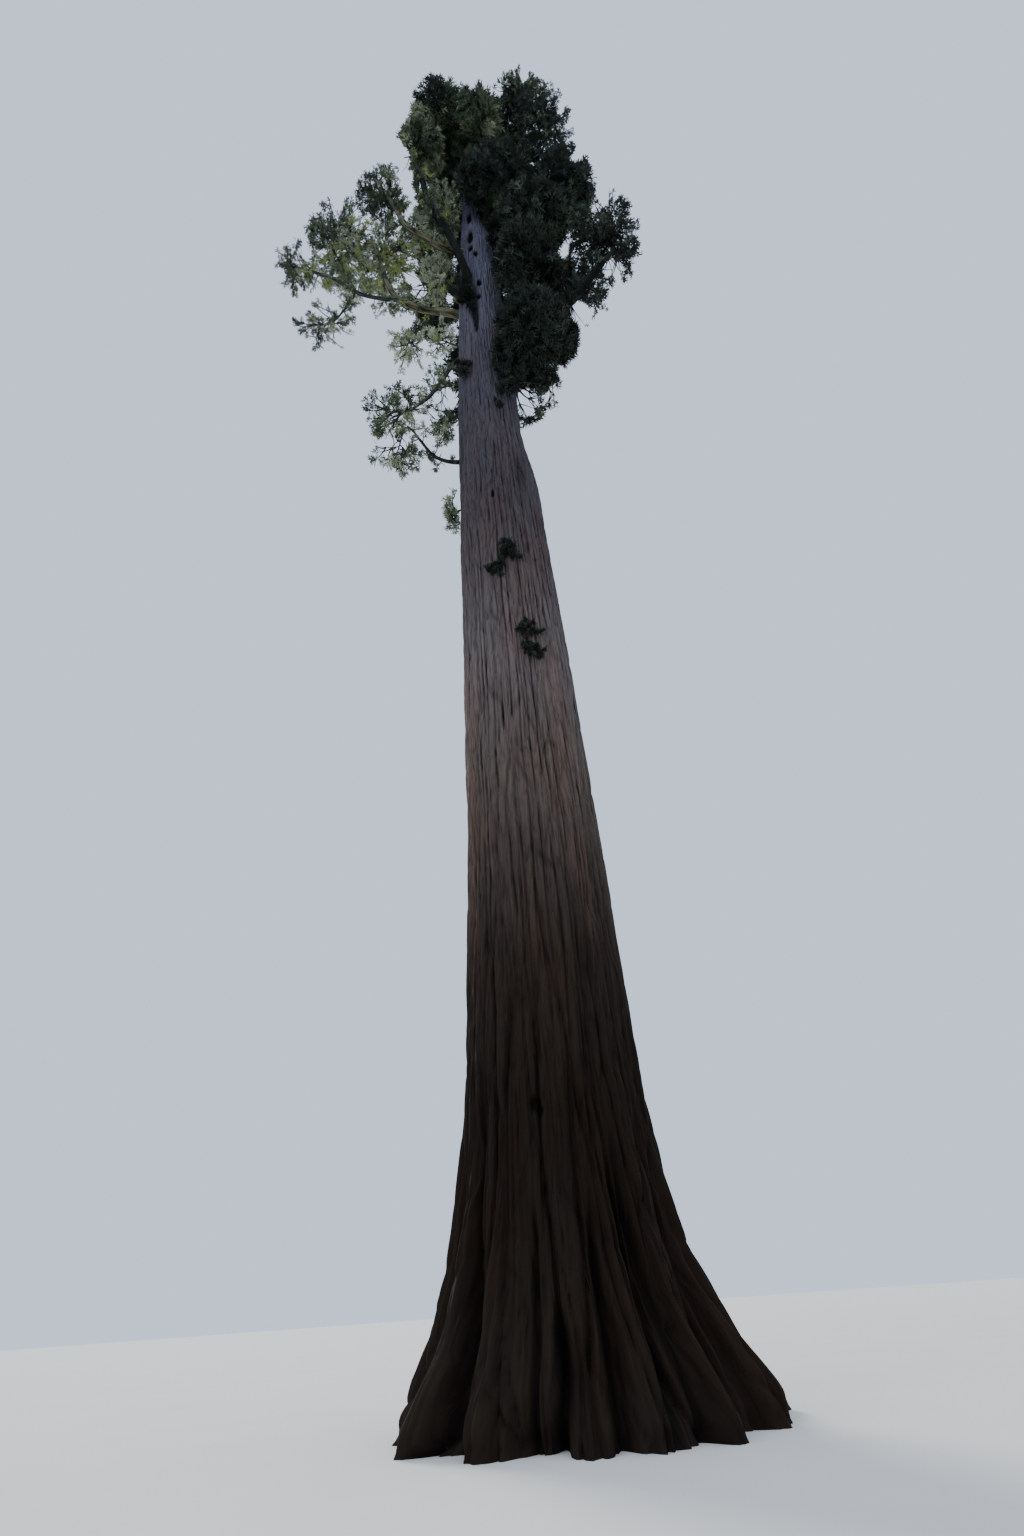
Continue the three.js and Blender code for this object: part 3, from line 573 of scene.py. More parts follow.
# Boughs: radius at the root and the tip, then the middle line; the same as their solids
boughs = {
    "bough_left": (0.105, 0.092, [(-0.35, -0.45, 21.9), (-0.85, -0.6, 22.15), (-1.75, -0.74, 22.35),
        (-2.45, -0.92, 22.75)]),
    "bough_left_rise": (0.09, 0.07, [(-2.33, -0.89, 22.67), (-2.56, -0.97, 23.05), (-2.79, -1.1, 23.85),
        (-2.96, -1.23, 24.7)]),
    "bough_left_outer": (0.062, 0.034, [(-2.4, -0.905, 22.7), (-3.08, -1.11, 22.48), (-3.55, -1.35, 22.33),
        (-3.9, -1.61, 22.35), (-4.65, -1.84, 22.6)]),
    "bough_left_crest": (0.046, 0.034, [(-3.54, -1.345, 22.3), (-3.7, -1.5, 23.05), (-4, -1.68, 23.95)]),
    "bough_left_drop": (0.042, 0.028, [(-3.48, -1.31, 22.33), (-3.54, -1.29, 21.75), (-3.78, -1.22, 21.08)]),
    "bough_left_high": (0.11, 0.08, [(-0.35, -0.78, 26.3), (-0.75, -1.05, 25.79), (-1.21, -1.35, 25.26),
        (-1.67, -1.62, 25.31), (-2.1, -1.85, 25.59), (-2.41, -2, 26.61)]),
    "bough_left_front": (0.12, 0.085, [(-0.36, -0.85, 23), (-0.59, -1.25, 24.06), (-0.94, -1.55, 25.72),
        (-1.43, -1.85, 27.23), (-1.78, -2.2, 30)]),
    "bough_low_upper": (0.055, 0.032, [(-0.48, -0.43, 19.75), (-0.89, -0.51, 19.25), (-1.18, -0.56, 18.25),
        (-1.48, -0.72, 16.95), (-1.7, -0.86, 16.25)]),
    "bough_low_lower": (0.048, 0.028, [(-0.48, -0.29, 14.9), (-0.88, -0.32, 14.68), (-1.33, -0.56, 14.52),
        (-1.64, -0.86, 14.78)]),
    "bough_right_shoulder": (0.15, 0.085, [(0.15, -0.8, 24.6), (0.8, -1.08, 25.5), (1.56, -1.42, 26.5),
        (2.29, -1.72, 27.35)]),
    "bough_right_far": (0.14, 0.075, [(0.15, -0.6, 18.3), (0.9, -0.85, 19), (2.15, -1.3, 20.15),
        (3.07, -1.56, 21.65)]),
    "bough_right_outer": (0.11, 0.07, [(0.15, -0.48, 19.7), (0.9, -0.64, 20.35), (1.85, -0.88, 21.25)]),
    "bough_top_right": (0.125, 0.065, [(0, -1, 28.7), (0.7, -1.45, 29.95), (1.55, -2.1, 31.15),
        (2.27, -2.52, 32.05)]),
    "bough_top_peak": (0.095, 0.055, [(0, -1.12, 31.3), (0.5, -1.5, 32.6), (1.18, -2.3, 33.9),
        (1.43, -2.9, 34.5)]),
    "bough_top_left": (0.11, 0.06, [(-0.2, -1.1, 30.9), (-0.48, -1.45, 31.8), (-0.83, -2.05, 32.9),
        (-1.05, -2.42, 33.6)]),
    "bough_back_left": (0.12, 0.07, [(-0.3, -0.5, 25.2), (-0.9, -0.1, 26.2), (-1.5, 0.55, 27.8)]),
    "bough_back_right": (0.12, 0.07, [(-0.05, -0.5, 23.4), (0.6, 0.05, 24.3), (1.15, 0.7, 25.5)]),
    "bough_back_low": (0.115, 0.07, [(-0.15, -0.25, 18.9), (-0.25, 0.7, 19.9), (-0.38, 1.25, 21.1)])
}
boughRelief = {"sides": 26, "ringGap": 0.065, "plates": 8, "plateLength": 0.55, "depth": 0.07, "lump": 0.06,
               "collar": 0.22, "collarReach": 0.16}
# Which boughs get the lit and the dim copy of the bark; the rest get the shaded copy. These tones are painted
# light and painted shade
litBoughs = ("bough_left", "bough_left_rise", "bough_left_high")
dimBoughs = ("bough_left_outer", "bough_left_crest", "bough_left_drop", "bough_low_upper", "bough_low_lower")


def barkOf(name):
    return litBoughBark if name in litBoughs else dimBark if name in dimBoughs else shadedBark


# A smooth line through the spots in many short steps, and its length up to each
def smoothLine(spots):
    spots = np.array(spots, dtype=float)
    last = len(spots) - 1
    fine = [spots[:1]]
    for k in range(last):
        before = spots[k - 1] if k else 2 * spots[0] - spots[1]
        after = spots[k + 2] if k + 2 <= last else 2 * spots[last] - spots[last - 1]
        corners = [before, spots[k], spots[k + 1], after]
        gaps = [max(np.linalg.norm(b - a), 1e-8) ** 0.5 for a, b in zip(corners, corners[1:])]
        a, b, c, d = corners
        start = ((b - a) / gaps[0] - (c - a) / (gaps[0] + gaps[1]) + (c - b) / gaps[1]) * gaps[1]
        end = ((c - b) / gaps[1] - (d - b) / (gaps[1] + gaps[2]) + (d - c) / gaps[2]) * gaps[1]
        t = np.linspace(0, 1, 60)[1:, None]
        second, third = 3 * c - 3 * b - 2 * start - end, 2 * b - 2 * c + start + end
        fine.append(b + start * t + second * t ** 2 + third * t ** 3)
    fine = np.vstack(fine)
    return fine, np.concatenate([[0], np.cumsum(np.linalg.norm(np.diff(fine, axis=0), axis=1))])


# Points at these shares of the line's length
def lineAt(spots, shares):
    fine, length = smoothLine(spots)
    wanted = np.asarray(shares) * length[-1]
    return np.stack([np.interp(wanted, length, fine[:, axis]) for axis in range(3)], axis=-1)


def unit(vectors):
    return vectors / np.maximum(np.linalg.norm(vectors, axis=-1, keepdims=True), 1e-9)


# Two directions across the line at each of its points, without a twist
def framesAlong(line):
    ahead = unit(np.gradient(line, axis=0))
    across = np.cross(ahead[0], (0.3, 0.9, 0.2))
    sides = []
    for direction in ahead:
        across = across - direction * np.dot(across, direction)
        across = across / np.linalg.norm(across)
        sides.append(across)
    sides = np.array(sides)
    return ahead, sides, np.cross(ahead, sides)


# Room between points and the trunk's bark
def trunkRoom(points):
    height = np.clip(points[..., 2], 0, trunkShape["top"])
    away = points - middleAt(height)
    heading = np.degrees(np.arctan2(away[..., 0], -away[..., 1]))
    room = np.hypot(away[..., 0], away[..., 1]) - trunkRadius(height, heading)
    above = np.linalg.norm(points - middleAt(trunkShape["top"]), axis=-1)
    return np.where(points[..., 2] > trunkShape["top"], above, room)


def buildBough(order, name, rootRadius, tipRadius, spots):
    length = smoothLine(spots)[1][-1]
    rings = max(12, round(length / boughRelief["ringGap"]))
    shares = np.linspace(0, 1, rings)
    line = lineAt(spots, shares)
    ahead, side, top = framesAlong(line)
    sides = boughRelief["sides"]
    share, turnShare = np.meshgrid(shares, np.arange(sides) / sides, indexing="ij")
    along = share * length / boughRelief["plateLength"]
    plates = boughRelief["plates"]
    across = turnShare * plates + 0.4 * softNoise(turnShare * 4, along, 4, order)
    edge = plateEdge(across, along, plates, 30 + order)
    furrow = 1 - smoothStep(0.02, 0.45, edge)
    lump = softNoise(turnShare * 5, share * length * 3.2, 5, 60 + order)
    lump = lump + 0.8 * softNoise(turnShare * 2, share * length * 1.1, 2, 80 + order)
    radius = rootRadius + (tipRadius - rootRadius) * share ** 0.8
    collar = boughRelief["collar"] * np.exp(-np.maximum(0, trunkRoom(line)) / boughRelief["collarReach"])
    radius = radius * (1 + boughRelief["lump"] * lump - boughRelief["depth"] * furrow + collar[:, None])
    radius[-1] *= 0.82
    angle = turnShare * 2 * np.pi
    outwards = side[:, None] * np.cos(angle)[..., None] + top[:, None] * np.sin(angle)[..., None]
    points = line[:, None] + outwards * radius[..., None]
    grain = np.stack([rootRadius * np.cos(angle), rootRadius * np.sin(angle), share * length], axis=-1)
    net, right, faces = netOf(rings, sides)
    skin = np.vstack([points.reshape(-1, 3), line[:1], line[-1:] + ahead[-1:] * tipRadius * 0.6])
    first, last = rings * sides, rings * sides + 1
    faces += fan(first, right[0], net[0]) + fan(last, net[-1], right[-1])
    piece = newPiece(name.replace("bough_", "bark_bough_"), skin, faces, barkOf(name))
    addAttributes(piece, furrow=np.append(furrow.ravel() * 0.8, (0, 0)),
                  grain=np.vstack([grain.reshape(-1, 3), (0, 0, 0), (0, 0, length)]))
    dress(piece, "bough_bark", name)
    return len(piece.data.polygons)


faceCount = sum(buildBough(order, name, *shape) for order, (name, shape) in enumerate(boughs.items()))
print("boughs", faceCount, "faces")

# Foliage masses by region: name, what carries it (a bough, or a height on the trunk), middle, half sizes
massRegions = [
    ("top", [
        ("top_left", "bough_top_left", (-0.95, -2.82, 34.3), (1.35, 1.24, 2.4)),
        ("top_left_edge", "bough_left_front", (-1.76, -2.35, 32), (0.98, 1.1, 2.25)),
        ("top_middle", 31, (0.34, -2.86, 33.3), (1.25, 1.09, 2.44)),
        ("top_peak", "bough_top_peak", (1.8, -2.98, 34.9), (1.08, 0.92, 2.12)),
        ("top_right", "bough_top_right", (2.42, -2.7, 32.3), (1.2, 1.13, 2.5))
    ]),
    ("front", [
        ("front", 28, (0.74, -1.98, 29.6), (1.6, 1.04, 2.44)),
        ("right_shoulder", "bough_right_shoulder", (2.66, -1.86, 27.8), (1.13, 1.12, 2.5)),
        ("right_far", "bough_right_far", (3.36, -1.6, 23.3), (1, 1.21, 2.3)),
        ("right_middle", 23.6, (1.7, -1.78, 25.4), (1.34, 1.04, 2.44))
    ]),
    ("column", [
        ("column_upper", 20.6, (1.22, -1.6, 22), (1.07, 1.06, 2.31)),
        ("column_lower", 17.2, (0.98, -1.28, 18.4), (1.01, 0.92, 2.31)),
        ("right_outer", "bough_right_outer", (2.38, -0.95, 22.4), (1.09, 1.04, 2.31)),
        ("right_lower", 19, (1.72, -0.64, 20), (0.64, 0.64, 1.35)),
        ("right_hanging", 17.9, (1.3, -0.43, 17.6), (0.36, 0.5, 0.9))
    ]),
    ("left", [
        ("left_crest", "bough_left_crest", (-3.98, -1.76, 25.1), (1.2, 1.09, 2)),
        ("left_hump", "bough_left_high", (-2.92, -1.98, 28.65), (1.02, 0.87, 1.65)),
        ("left_full", "bough_left_rise", (-2.88, -1, 26.1), (1.42, 1.05, 2.6)),
        ("left_tip", "bough_left_outer", (-4.95, -1.88, 22.7), (0.63, 0.69, 1.04)),
        ("left_drop", "bough_left_drop", (-4.15, -1.18, 20.5), (0.92, 0.63, 1.04)),
        ("inner_upper", 28.6, (-1.38, -1.1, 30.1), (1.04, 1.01, 2.25)),
        ("inner_lower", 24.2, (-1.48, -0.45, 25.5), (0.95, 0.8, 2.1))
    ]),
    ("low", [
        ("under_bough", 20, (-1.28, -0.52, 20.7), (0.8, 0.54, 1.09)),
        ("hanging", "bough_left", (-2.07, -0.8, 19.8), (0.58, 0.72, 1.32)),
        ("near_trunk", 18.3, (-1.28, -0.25, 18.5), (0.5, 0.62, 1.04)),
        ("low_upper", "bough_low_upper", (-2.08, -1.02, 15.5), (0.92, 0.72, 1.09)),
        ("low_lower", "bough_low_lower", (-2, -1, 14), (0.63, 0.52, 0.75)),
        ("low_inner", 16.7, (-1.22, -0.38, 16.4), (0.48, 0.6, 0.98)),
        ("sprig", 13, (-1.03, -0.2, 13), (0.29, 0.58, 0.55))
    ]),
    ("top", [
        ("tip", 37, (-0.18, -1.23, 38.05), (1.32, 1.32, 1.95)),
        ("crown_left", 34.7, (-1.2, -0.9, 35.9), (1.21, 1.21, 2.31)),
        ("crown_right", 34.9, (0.85, -1.15, 36.1), (1.21, 1.21, 2.31)),
        ("crown_back", 34.5, (-0.25, 0.15, 35.8), (1.32, 1.15, 2.44))
    ]),
    ("back", [
        ("back_top_left", 30.8, (-1.55, 0.15, 32.5), (1.32, 1.26, 2.5)),
        ("back_top_right", 30.9, (1.6, -0.3, 32.6), (1.38, 1.26, 2.62)),
        ("back_top", 30, (0.1, 1.05, 31.9), (1.38, 1.26, 2.62)),
        ("back_left", "bough_back_left", (-1.85, 1.05, 28.6), (1.32, 1.32, 2.5)),
        ("back_shoulder", 27.2, (1.8, 0.3, 28.9), (1.44, 1.32, 2.5)),
        ("back_middle", 25.9, (-0.05, 1.55, 27.7), (1.38, 1.26, 2.62)),
        ("back_right", "bough_back_right", (1.65, 1.15, 25.3), (1.32, 1.26, 2.5)),
        ("back_low_right", 20.2, (0.65, 1.25, 21.9), (1.2, 1.12, 2.05)),
        ("back_low", "bough_back_low", (-0.45, 1.65, 23.2), (1.38, 1.26, 2.62))
    ])
]
crownGrowth = {
    "cellMargin": 0.004, "trunkGap": 0.08, "stemBend": 0.42, "hangingFrom": 0.72, "hangingRadius": 0.034,
    "branchReach": 0.62, "branchGirth": (0.46, 0.30), "lobeSpan": (0.70, 0.96), "leastFree": 0.62,
    "crowded": 0.45, "outerDepth": (0.93, 0.07), "innerDepth": (0.35, 0.35), "clumps": (0.16, 0.10),
    # the side of each mass that gets painted light
    "litSide": (0.55, 0.35, -0.65),
    "full": {"branches": 15, "tufts": 150, "innerTufts": 40, "tuftRadius": 0.25, "sprays": 17, "lobes": 15,
             "lobeDepth": 0.28, "stemRadius": 0.070},
    "loose": {"branches": 16, "tufts": 150, "innerTufts": 40, "tuftRadius": 0.155, "sprays": 11, "lobes": 15,
              "lobeDepth": 0.36, "stemRadius": 0.070},
    "open": {"branches": 9, "tufts": 44, "innerTufts": 14, "tuftRadius": 0.135, "sprays": 9, "lobes": 8,
             "lobeDepth": 0.50, "stemRadius": 0.032}
}
tuftGrowth = {"twigShares": (0.45, 0.55), "aroundTwig": 0.30, "outward": 0.65, "scatter": 0.95, "lift": 0.22,
              "sizes": (0.85, 0.45), "shadePlay": 0.075, "deadShare": 0.006}
seeds = {"masses": 500, "limbs": 700, "gaps": 800, "trunk": 900}
# Radius of a twig at each of its points
twigGirth = {"mass": (0.017, 0.014, 0.011, 0.008, 0.004), "trunk": (0.013, 0.010, 0.005),
             "limb": (0.014, 0.011, 0.005)}
goldenAngle = math.pi * (3 - math.sqrt(5))
# Gaps right through the crown: bearing, rise and half-width in degrees as seen from the camera. They were
# found by comparing a render with the photograph; the list can be shortened or emptied
crownGaps = [(5.7, 66.2, 0.92), (-9.2, 66.8, 0.78), (-19.0, 63.0, 0.65), (-24.6, 79.5, 0.5),
             (-22.7, 78.7, 0.45), (-26.6, 79.9, 0.33), (-21.6, 78.2, 0.29), (-15.7, 73.1, 0.51),
             (-17.6, 73.6, 0.38), (-17.6, 71.3, 0.46), (-39.0, 75.7, 0.35), (-8.1, 68.2, 0.42),
             (-40.8, 72.2, 0.36), (20.0, 74.0, 0.37), (-17.1, 78.6, 0.29), (10.7, 66.4, 0.36),
             (9.6, 66.1, 0.36), (-17.0, 63.2, 0.37), (-15.9, 63.6, 0.37), (-11.5, 65.6, 0.36),
             (-9.8, 63.1, 0.38), (11.6, 83.3, 0.38), (-8.5, 72.8, 0.33), (-30.3, 68.7, 0.33),
             (-33.1, 70.5, 0.26), (-13.6, 70.0, 0.28), (-11.6, 69.9, 0.28), (-11.5, 67.8, 0.29),
             (19.4, 70.4, 0.65), (28.3, 71.8, 0.5), (29.3, 71.2, 0.32), (33.6, 75.4, 0.41),
             (32.8, 77.9, 0.28), (35.0, 79.3, 0.22), (36.8, 80.4, 0.22), (28.3, 82.7, 0.3),
             (14.6, 82.7, 0.27)]
looseMasses = ("left_crest", "left_hump", "left_full", "inner_upper", "inner_lower", "right_far",
               "right_outer", "top_peak", "top_right")
openMasses = ("right_hanging", "left_tip", "left_drop")  # and all of the low ones
# By mass: how light (painted light and shade), how much lighter on its inner lower side (painted light), how
# full, its share of tufts with painted sunlight
massLook = {
    "left_crest": (0.40, 0.26, 1.0, 0.25), "left_hump": (0.48, 0.12, 0.68, 0.05),
    "left_full": (0.72, 0.24, 0.95, 0.60), "left_tip": (0.48, 0.10, 1.15, 0.05),
    "left_drop": (0.56, 0.10, 0.8, 0), "inner_upper": (0.86, 0.14, 0.62, 0.15),
    "inner_lower": (0.97, 0.12, 0.62, 0.14), "under_bough": (1.08, 0.10, 0.70, 0.45),
    "hanging": (0.78, 0.10, 0.76, 0.08), "near_trunk": (0.66, 0.10, 0.85, 0.25),
    "low_upper": (0.56, 0.10, 1.0, 0), "low_lower": (0.56, 0.10, 0.9, 0),
    "low_inner": (0.58, 0.10, 0.85, 0.1), "sprig": (0.62, 0.10, 0.4, 0),
    "top_left": (0.34, 0.12, 1.0, 0.06), "top_left_edge": (0.49, 0.12, 0.85, 0.06),
    "crown_left": (0.28, 0.12, 1.0, 0), "top_peak": (0.24, 0.08, 1.2, 0),
    "top_right": (0.18, 0.08, 1.2, 0), "right_far": (0.14, 0.10, 1.15, 0),
    "back_low_right": (0.04, 0.10, 0.85, 0), "back_low": (0.12, 0.10, 0.85, 0),
    "right_outer": (0.16, 0.12, 0.92, 0)
}
# The same by region for the other masses: their lightness is painted light and shade
plainLook = {"top": (0.30, 0.10, 1.0, 0), "front": (0.10, 0.14, 1.0, 0), "column": (0.02, 0.10, 1.0, 0),
             "back": (0.28, 0.14, 0.85, 0)}
# Tiers of lightness for the sprays: dark, green, grey, pale and bright are painted shade and painted light,
# the yellow-green tier is painted sunlight, dead is the sprays' own brown
shades = {  # least lightness, colour, material slot
    "dark": (-9, (0.0118, 0.0182, 0.0130), "foliage_dark"),
    "green": (0.24, (0.042, 0.062, 0.038), "foliage_mid"),
    "grey": (0.43, (0.090, 0.118, 0.068), "foliage_mid"),
    "pale": (0.61, (0.235, 0.268, 0.172), "foliage_lit"),
    "bright": (0.90, (0.355, 0.395, 0.290), "foliage_lit"),
    "gold": (4, (0.215, 0.255, 0.085), "foliage_lit"),
    "dead": (9, (0.060, 0.040, 0.024), "foliage_mid")
}


def buildCells():
    cells = []
    for region, rows in massRegions:
        for name, carrier, centre, half in rows:
            opened = region == "low" or name in openMasses
            kind = crownGrowth["loose" if name in looseMasses else "open" if opened else "full"]
            cells.append({"name": name, "region": region, "carrier": carrier, "kind": kind, "planes": [],
                          "centre": np.array(centre, dtype=float), "half": np.array(half, dtype=float)})
    for cell in cells:
        for other in cells:
            if other is cell:
                continue
            away = other["centre"] - cell["centre"]
            apart = np.linalg.norm(away)
            away = away / apart
            mine, theirs = (1 / np.linalg.norm(away / one["half"]) for one in (cell, other))
            reach = apart * mine / (mine + theirs)
            if reach < mine * 2.5:
                offset = away @ (cell["centre"] + away * reach) - crownGrowth["cellMargin"]
                cell["planes"].append((away, offset))
    return cells


# How far it is from a point inside a cell to the cell's edge
def edgeFrom(cell, start, directions):
    place = (start - cell["centre"]) / cell["half"]
    speed = directions / cell["half"]
    a, b, c = (speed ** 2).sum(axis=-1), (place * speed).sum(axis=-1), (place ** 2).sum(axis=-1) - 1
    reach = (-b + np.sqrt(np.maximum(0, b * b - a * c))) / a
    for normal, offset in cell["planes"]:
        facing = directions @ normal
        ahead = (offset - start @ normal) / np.maximum(facing, 1e-6)
        reach = np.minimum(reach, np.where(facing > 1e-6, ahead, 99))
    return np.maximum(0, reach)


def insideCell(cell, points):
    inside = (((points - cell["centre"]) / cell["half"]) ** 2).sum(axis=-1) <= 1.0
    for normal, offset in cell["planes"]:
        inside &= points @ normal <= offset
    return inside


def spread(count, chance):  # directions all round, evenly
    step = np.arange(count)
    rise = 1 - 2 * (step + 0.5) / count
    angle = step * goldenAngle + chance.random(count) * 0.5
    flat = np.sqrt(1 - rise * rise)
    return np.stack([flat * np.cos(angle), flat * np.sin(angle), rise], axis=-1)


def randomUnit(count, chance):
    return unit(chance.normal(size=(count, 3)))


# The line of a mass's stem, from its bough or the trunk into its middle, and its radius
def stemOf(cell):
    centre, radius = cell["centre"], cell["kind"]["stemRadius"]
    if cell["name"] == "hanging":
        start = lineAt(boughs[cell["carrier"]][2], [crownGrowth["hangingFrom"]])[0]
        ahead, radius = np.array([0, 0, -1.0]), crownGrowth["hangingRadius"]
    elif cell["carrier"] in boughs:
        _, tipRadius, spots = boughs[cell["carrier"]]
        before, start = lineAt(spots, [0.98, 1])
        ahead, radius = unit(start - before), tipRadius * 0.92
        start = start - ahead * 0.08
    else:
        start = middleAt(cell["carrier"])
        ahead = centre - start
        if cell["name"] != "tip":
            ahead = np.append(unit(ahead[:2]) * 0.9, 0.25)
        ahead = unit(ahead)
    bend = start + ahead * np.linalg.norm(start - centre) * crownGrowth["stemBend"]
    end = centre + unit(centre - bend) * cell["half"][0] * 0.25
    return [start, bend, centre, end], radius


# Everything that grows, gathered by region: wood as lines with a thickness, sprays as points with a direction
wood = {}
sprays = {}


def keepWood(region, level, line, thickness):
    wood.setdefault((level, region), []).append((line, thickness))


shadeLows = [low for low, *_ in shades.values()] + [99]


def keepSprays(region, shade, columns):
    for name, low, high in zip(shades, shadeLows, shadeLows[1:]):
        chosen = (shade >= low) & (shade < high)
        if chosen.any():
            sprays.setdefault((region, name), []).append([column[chosen] for column in columns])


bearings, rises, gapWidths = np.radians(crownGaps).reshape(-1, 3).T
gapWays = np.stack([np.sin(bearings) * np.cos(rises), np.cos(bearings) * np.cos(rises), np.sin(rises)])


def clearOfGaps(points, chance):  # their edges are ragged
    edges = np.cos(gapWidths * (0.7 + 0.5 * chance.random((len(points), 1))))
    return ~(unit(points - cameraValues["place"]) @ gapWays > edges).any(axis=-1)


# Sprays of one tuft: short shoots fanned out round the last stretch of its twig
def growTuft(region, chance, root, middle, outward, radius, count, shade, cell=None, sunlitTuft=False):
    share = 1 - chance.random(count) ** 1.6
    ahead = outward * tuftGrowth["outward"] + randomUnit(count, chance) * tuftGrowth["scatter"]
    ahead = unit(ahead + np.array([0, 0, tuftGrowth["lift"]]))
    first, rest = tuftGrowth["twigShares"]
    starts = root + (middle - root) * (first + rest * share[:, None])
    starts = starts + randomUnit(count, chance) * radius * tuftGrowth["aroundTwig"]
    least, more = tuftGrowth["sizes"]
    size = radius * (least + more * chance.random(count))
    shade = shade + chance.normal(size=count) * tuftGrowth["shadePlay"]
    # tufts with painted sunlight take the yellow-green tier
    shade = np.where((shade >= shades["grey"][0]) & sunlitTuft, shades["gold"][0], shade)
    shade = np.where(chance.random(count) < tuftGrowth["deadShare"], shades["dead"][0], shade)
    face = unit(np.cross(ahead, randomUnit(count, chance)))
    pick = chance.integers(0, 3, count)
    tips = starts + ahead * size[:, None]
    kept = (trunkRoom(starts) > 0.0) & (trunkRoom(tips) > 0.01)
    kept &= clearOfGaps(starts, chance) & clearOfGaps(tips, chance) & clearOfGaps((starts + tips) / 2, chance)
    if cell is not None:
        kept &= insideCell(cell, tips) & insideCell(cell, starts)
    keepSprays(region, shade[kept], [column[kept] for column in (starts, ahead, face, size, pick)])


def growMass(cell, order):
    chance = np.random.default_rng(seeds["masses"] + order)
    kind, region, centre, half = (cell[key] for key in ("kind", "region", "centre", "half"))
    light, gain, fullness, sunlitShare = massLook.get(cell["name"], plainLook.get(region))
    spots, stemRadius = stemOf(cell)
    stem = lineAt(spots, np.linspace(0, 1, 12))
    keepWood(region, "branches", stem, stemRadius * (1 - 0.5 * np.linspace(0, 1, 12) ** 0.8))
    # branches along the stem
    clear = (trunkRoom(stem) > 0.15) & insideCell(cell, stem)
    first = min(int(np.argmax(clear)) if clear.any() else 6, 9)
    branchLines = []
    for step, direction in enumerate(spread(kind["branches"], chance)):
        stand = first + (11 - first) * (step + 0.5) / kind["branches"]
        at = stem[int(stand)] + (stem[min(11, int(stand) + 1)] - stem[int(stand)]) * (stand % 1)
        direction = unit(direction * half)
        tip = centre + direction * edgeFrom(cell, centre, direction[None])[0] * crownGrowth["branchReach"]
        bow = (at + tip) / 2 + np.array([0, 0, -0.05]) * np.linalg.norm(tip - at)
        bow = bow + randomUnit(1, chance)[0] * 0.06
        line = lineAt([at, bow, tip], np.linspace(0, 1, 7))
        girth, loss = crownGrowth["branchGirth"]
        keepWood(region, "branches", line, stemRadius * (girth - loss * np.linspace(0, 1, 7)))
        branchLines.append(line)
    branchLines = np.array(branchLines)
    # tufts: an outer coat shaped by lobes, and some inside
    outer, inner = round(kind["tufts"] * fullness), round(kind["innerTufts"] * fullness)
    sphere = np.vstack([spread(outer, chance), spread(inner, chance)])
    sphere = unit(sphere + chance.normal(size=sphere.shape) * 0.07)
    directions = unit(sphere * half)
    edge = edgeFrom(cell, centre, directions)
    free = edge / np.linalg.norm(sphere * half, axis=-1)
    lobes = unit(spread(kind["lobes"], chance) + chance.normal(size=(kind["lobes"], 3)) * 0.25)
    lobes[0] = (0, 0, 1)
    near = (sphere @ lobes.T).max(axis=1)
    lobe = 1 - kind["lobeDepth"] * (1 - smoothStep(*crownGrowth["lobeSpan"], near))
    radius = kind["tuftRadius"] * (0.85 + 0.35 * chance.random(len(sphere)))
    outerDepth, innerDepth = [least + more * chance.random(len(sphere))
                              for least, more in (crownGrowth["outerDepth"], crownGrowth["innerDepth"])]
    depth = np.where(np.arange(len(sphere)) < outer, outerDepth, innerDepth)
    reach = np.maximum((edge - radius * 1.02) * depth * lobe, edge * 0.3)
    kept = (free > crownGrowth["leastFree"]) | (chance.random(len(sphere)) < crownGrowth["crowded"])
    middles = centre + directions * reach[:, None]
    kept &= (trunkRoom(middles) > crownGrowth["trunkGap"] + radius * 0.3) & clearOfGaps(middles, chance)
    clump = chance.normal(size=len(lobes)) * crownGrowth["clumps"][0 if region in ("left", "low") else 1]
    whichLobe = (sphere @ lobes.T).argmax(axis=1)
    for k in np.flatnonzero(kept):
        middle = middles[k]
        away = np.linalg.norm(branchLines - middle, axis=-1)
        branch = int(away.min(axis=1).argmin())
        stand = max(1, int(away[branch].argmin()) - 2)
        root = branchLines[branch, stand]
        outward = unit(0.7 * directions[k] + 0.5 * unit(middle - root))
        bow = (root + middle) / 2 + randomUnit(1, chance)[0] * 0.05 + np.array([0, 0, -0.04])
        line = lineAt([root, bow, middle, middle + outward * radius[k] * 0.35], np.linspace(0, 1, 5))
        keepWood(region, "twigs", line, twigGirth["mass"])
        # Painted light and shade: lightness by mass, lighter towards its lit side, with random play per lobe
        # and tuft; it picks the spray colour tier
        side = unit((middle - centre) / half) @ np.array(crownGrowth["litSide"])
        shade = light + gain * side + clump[whichLobe[k]] + chance.normal() * 0.09
        # tufts towards the lit lower inner side may get painted sunlight
        sunlitTuft = chance.random() < sunlitShare * np.clip(0.35 + 1.5 * side, 0, 1.6)
        growTuft(region, chance, root, middle, outward, radius[k], kind["sprays"], shade, cell, sunlitTuft)


cells = buildCells()
for order, cell in enumerate(cells):
    growMass(cell, order)

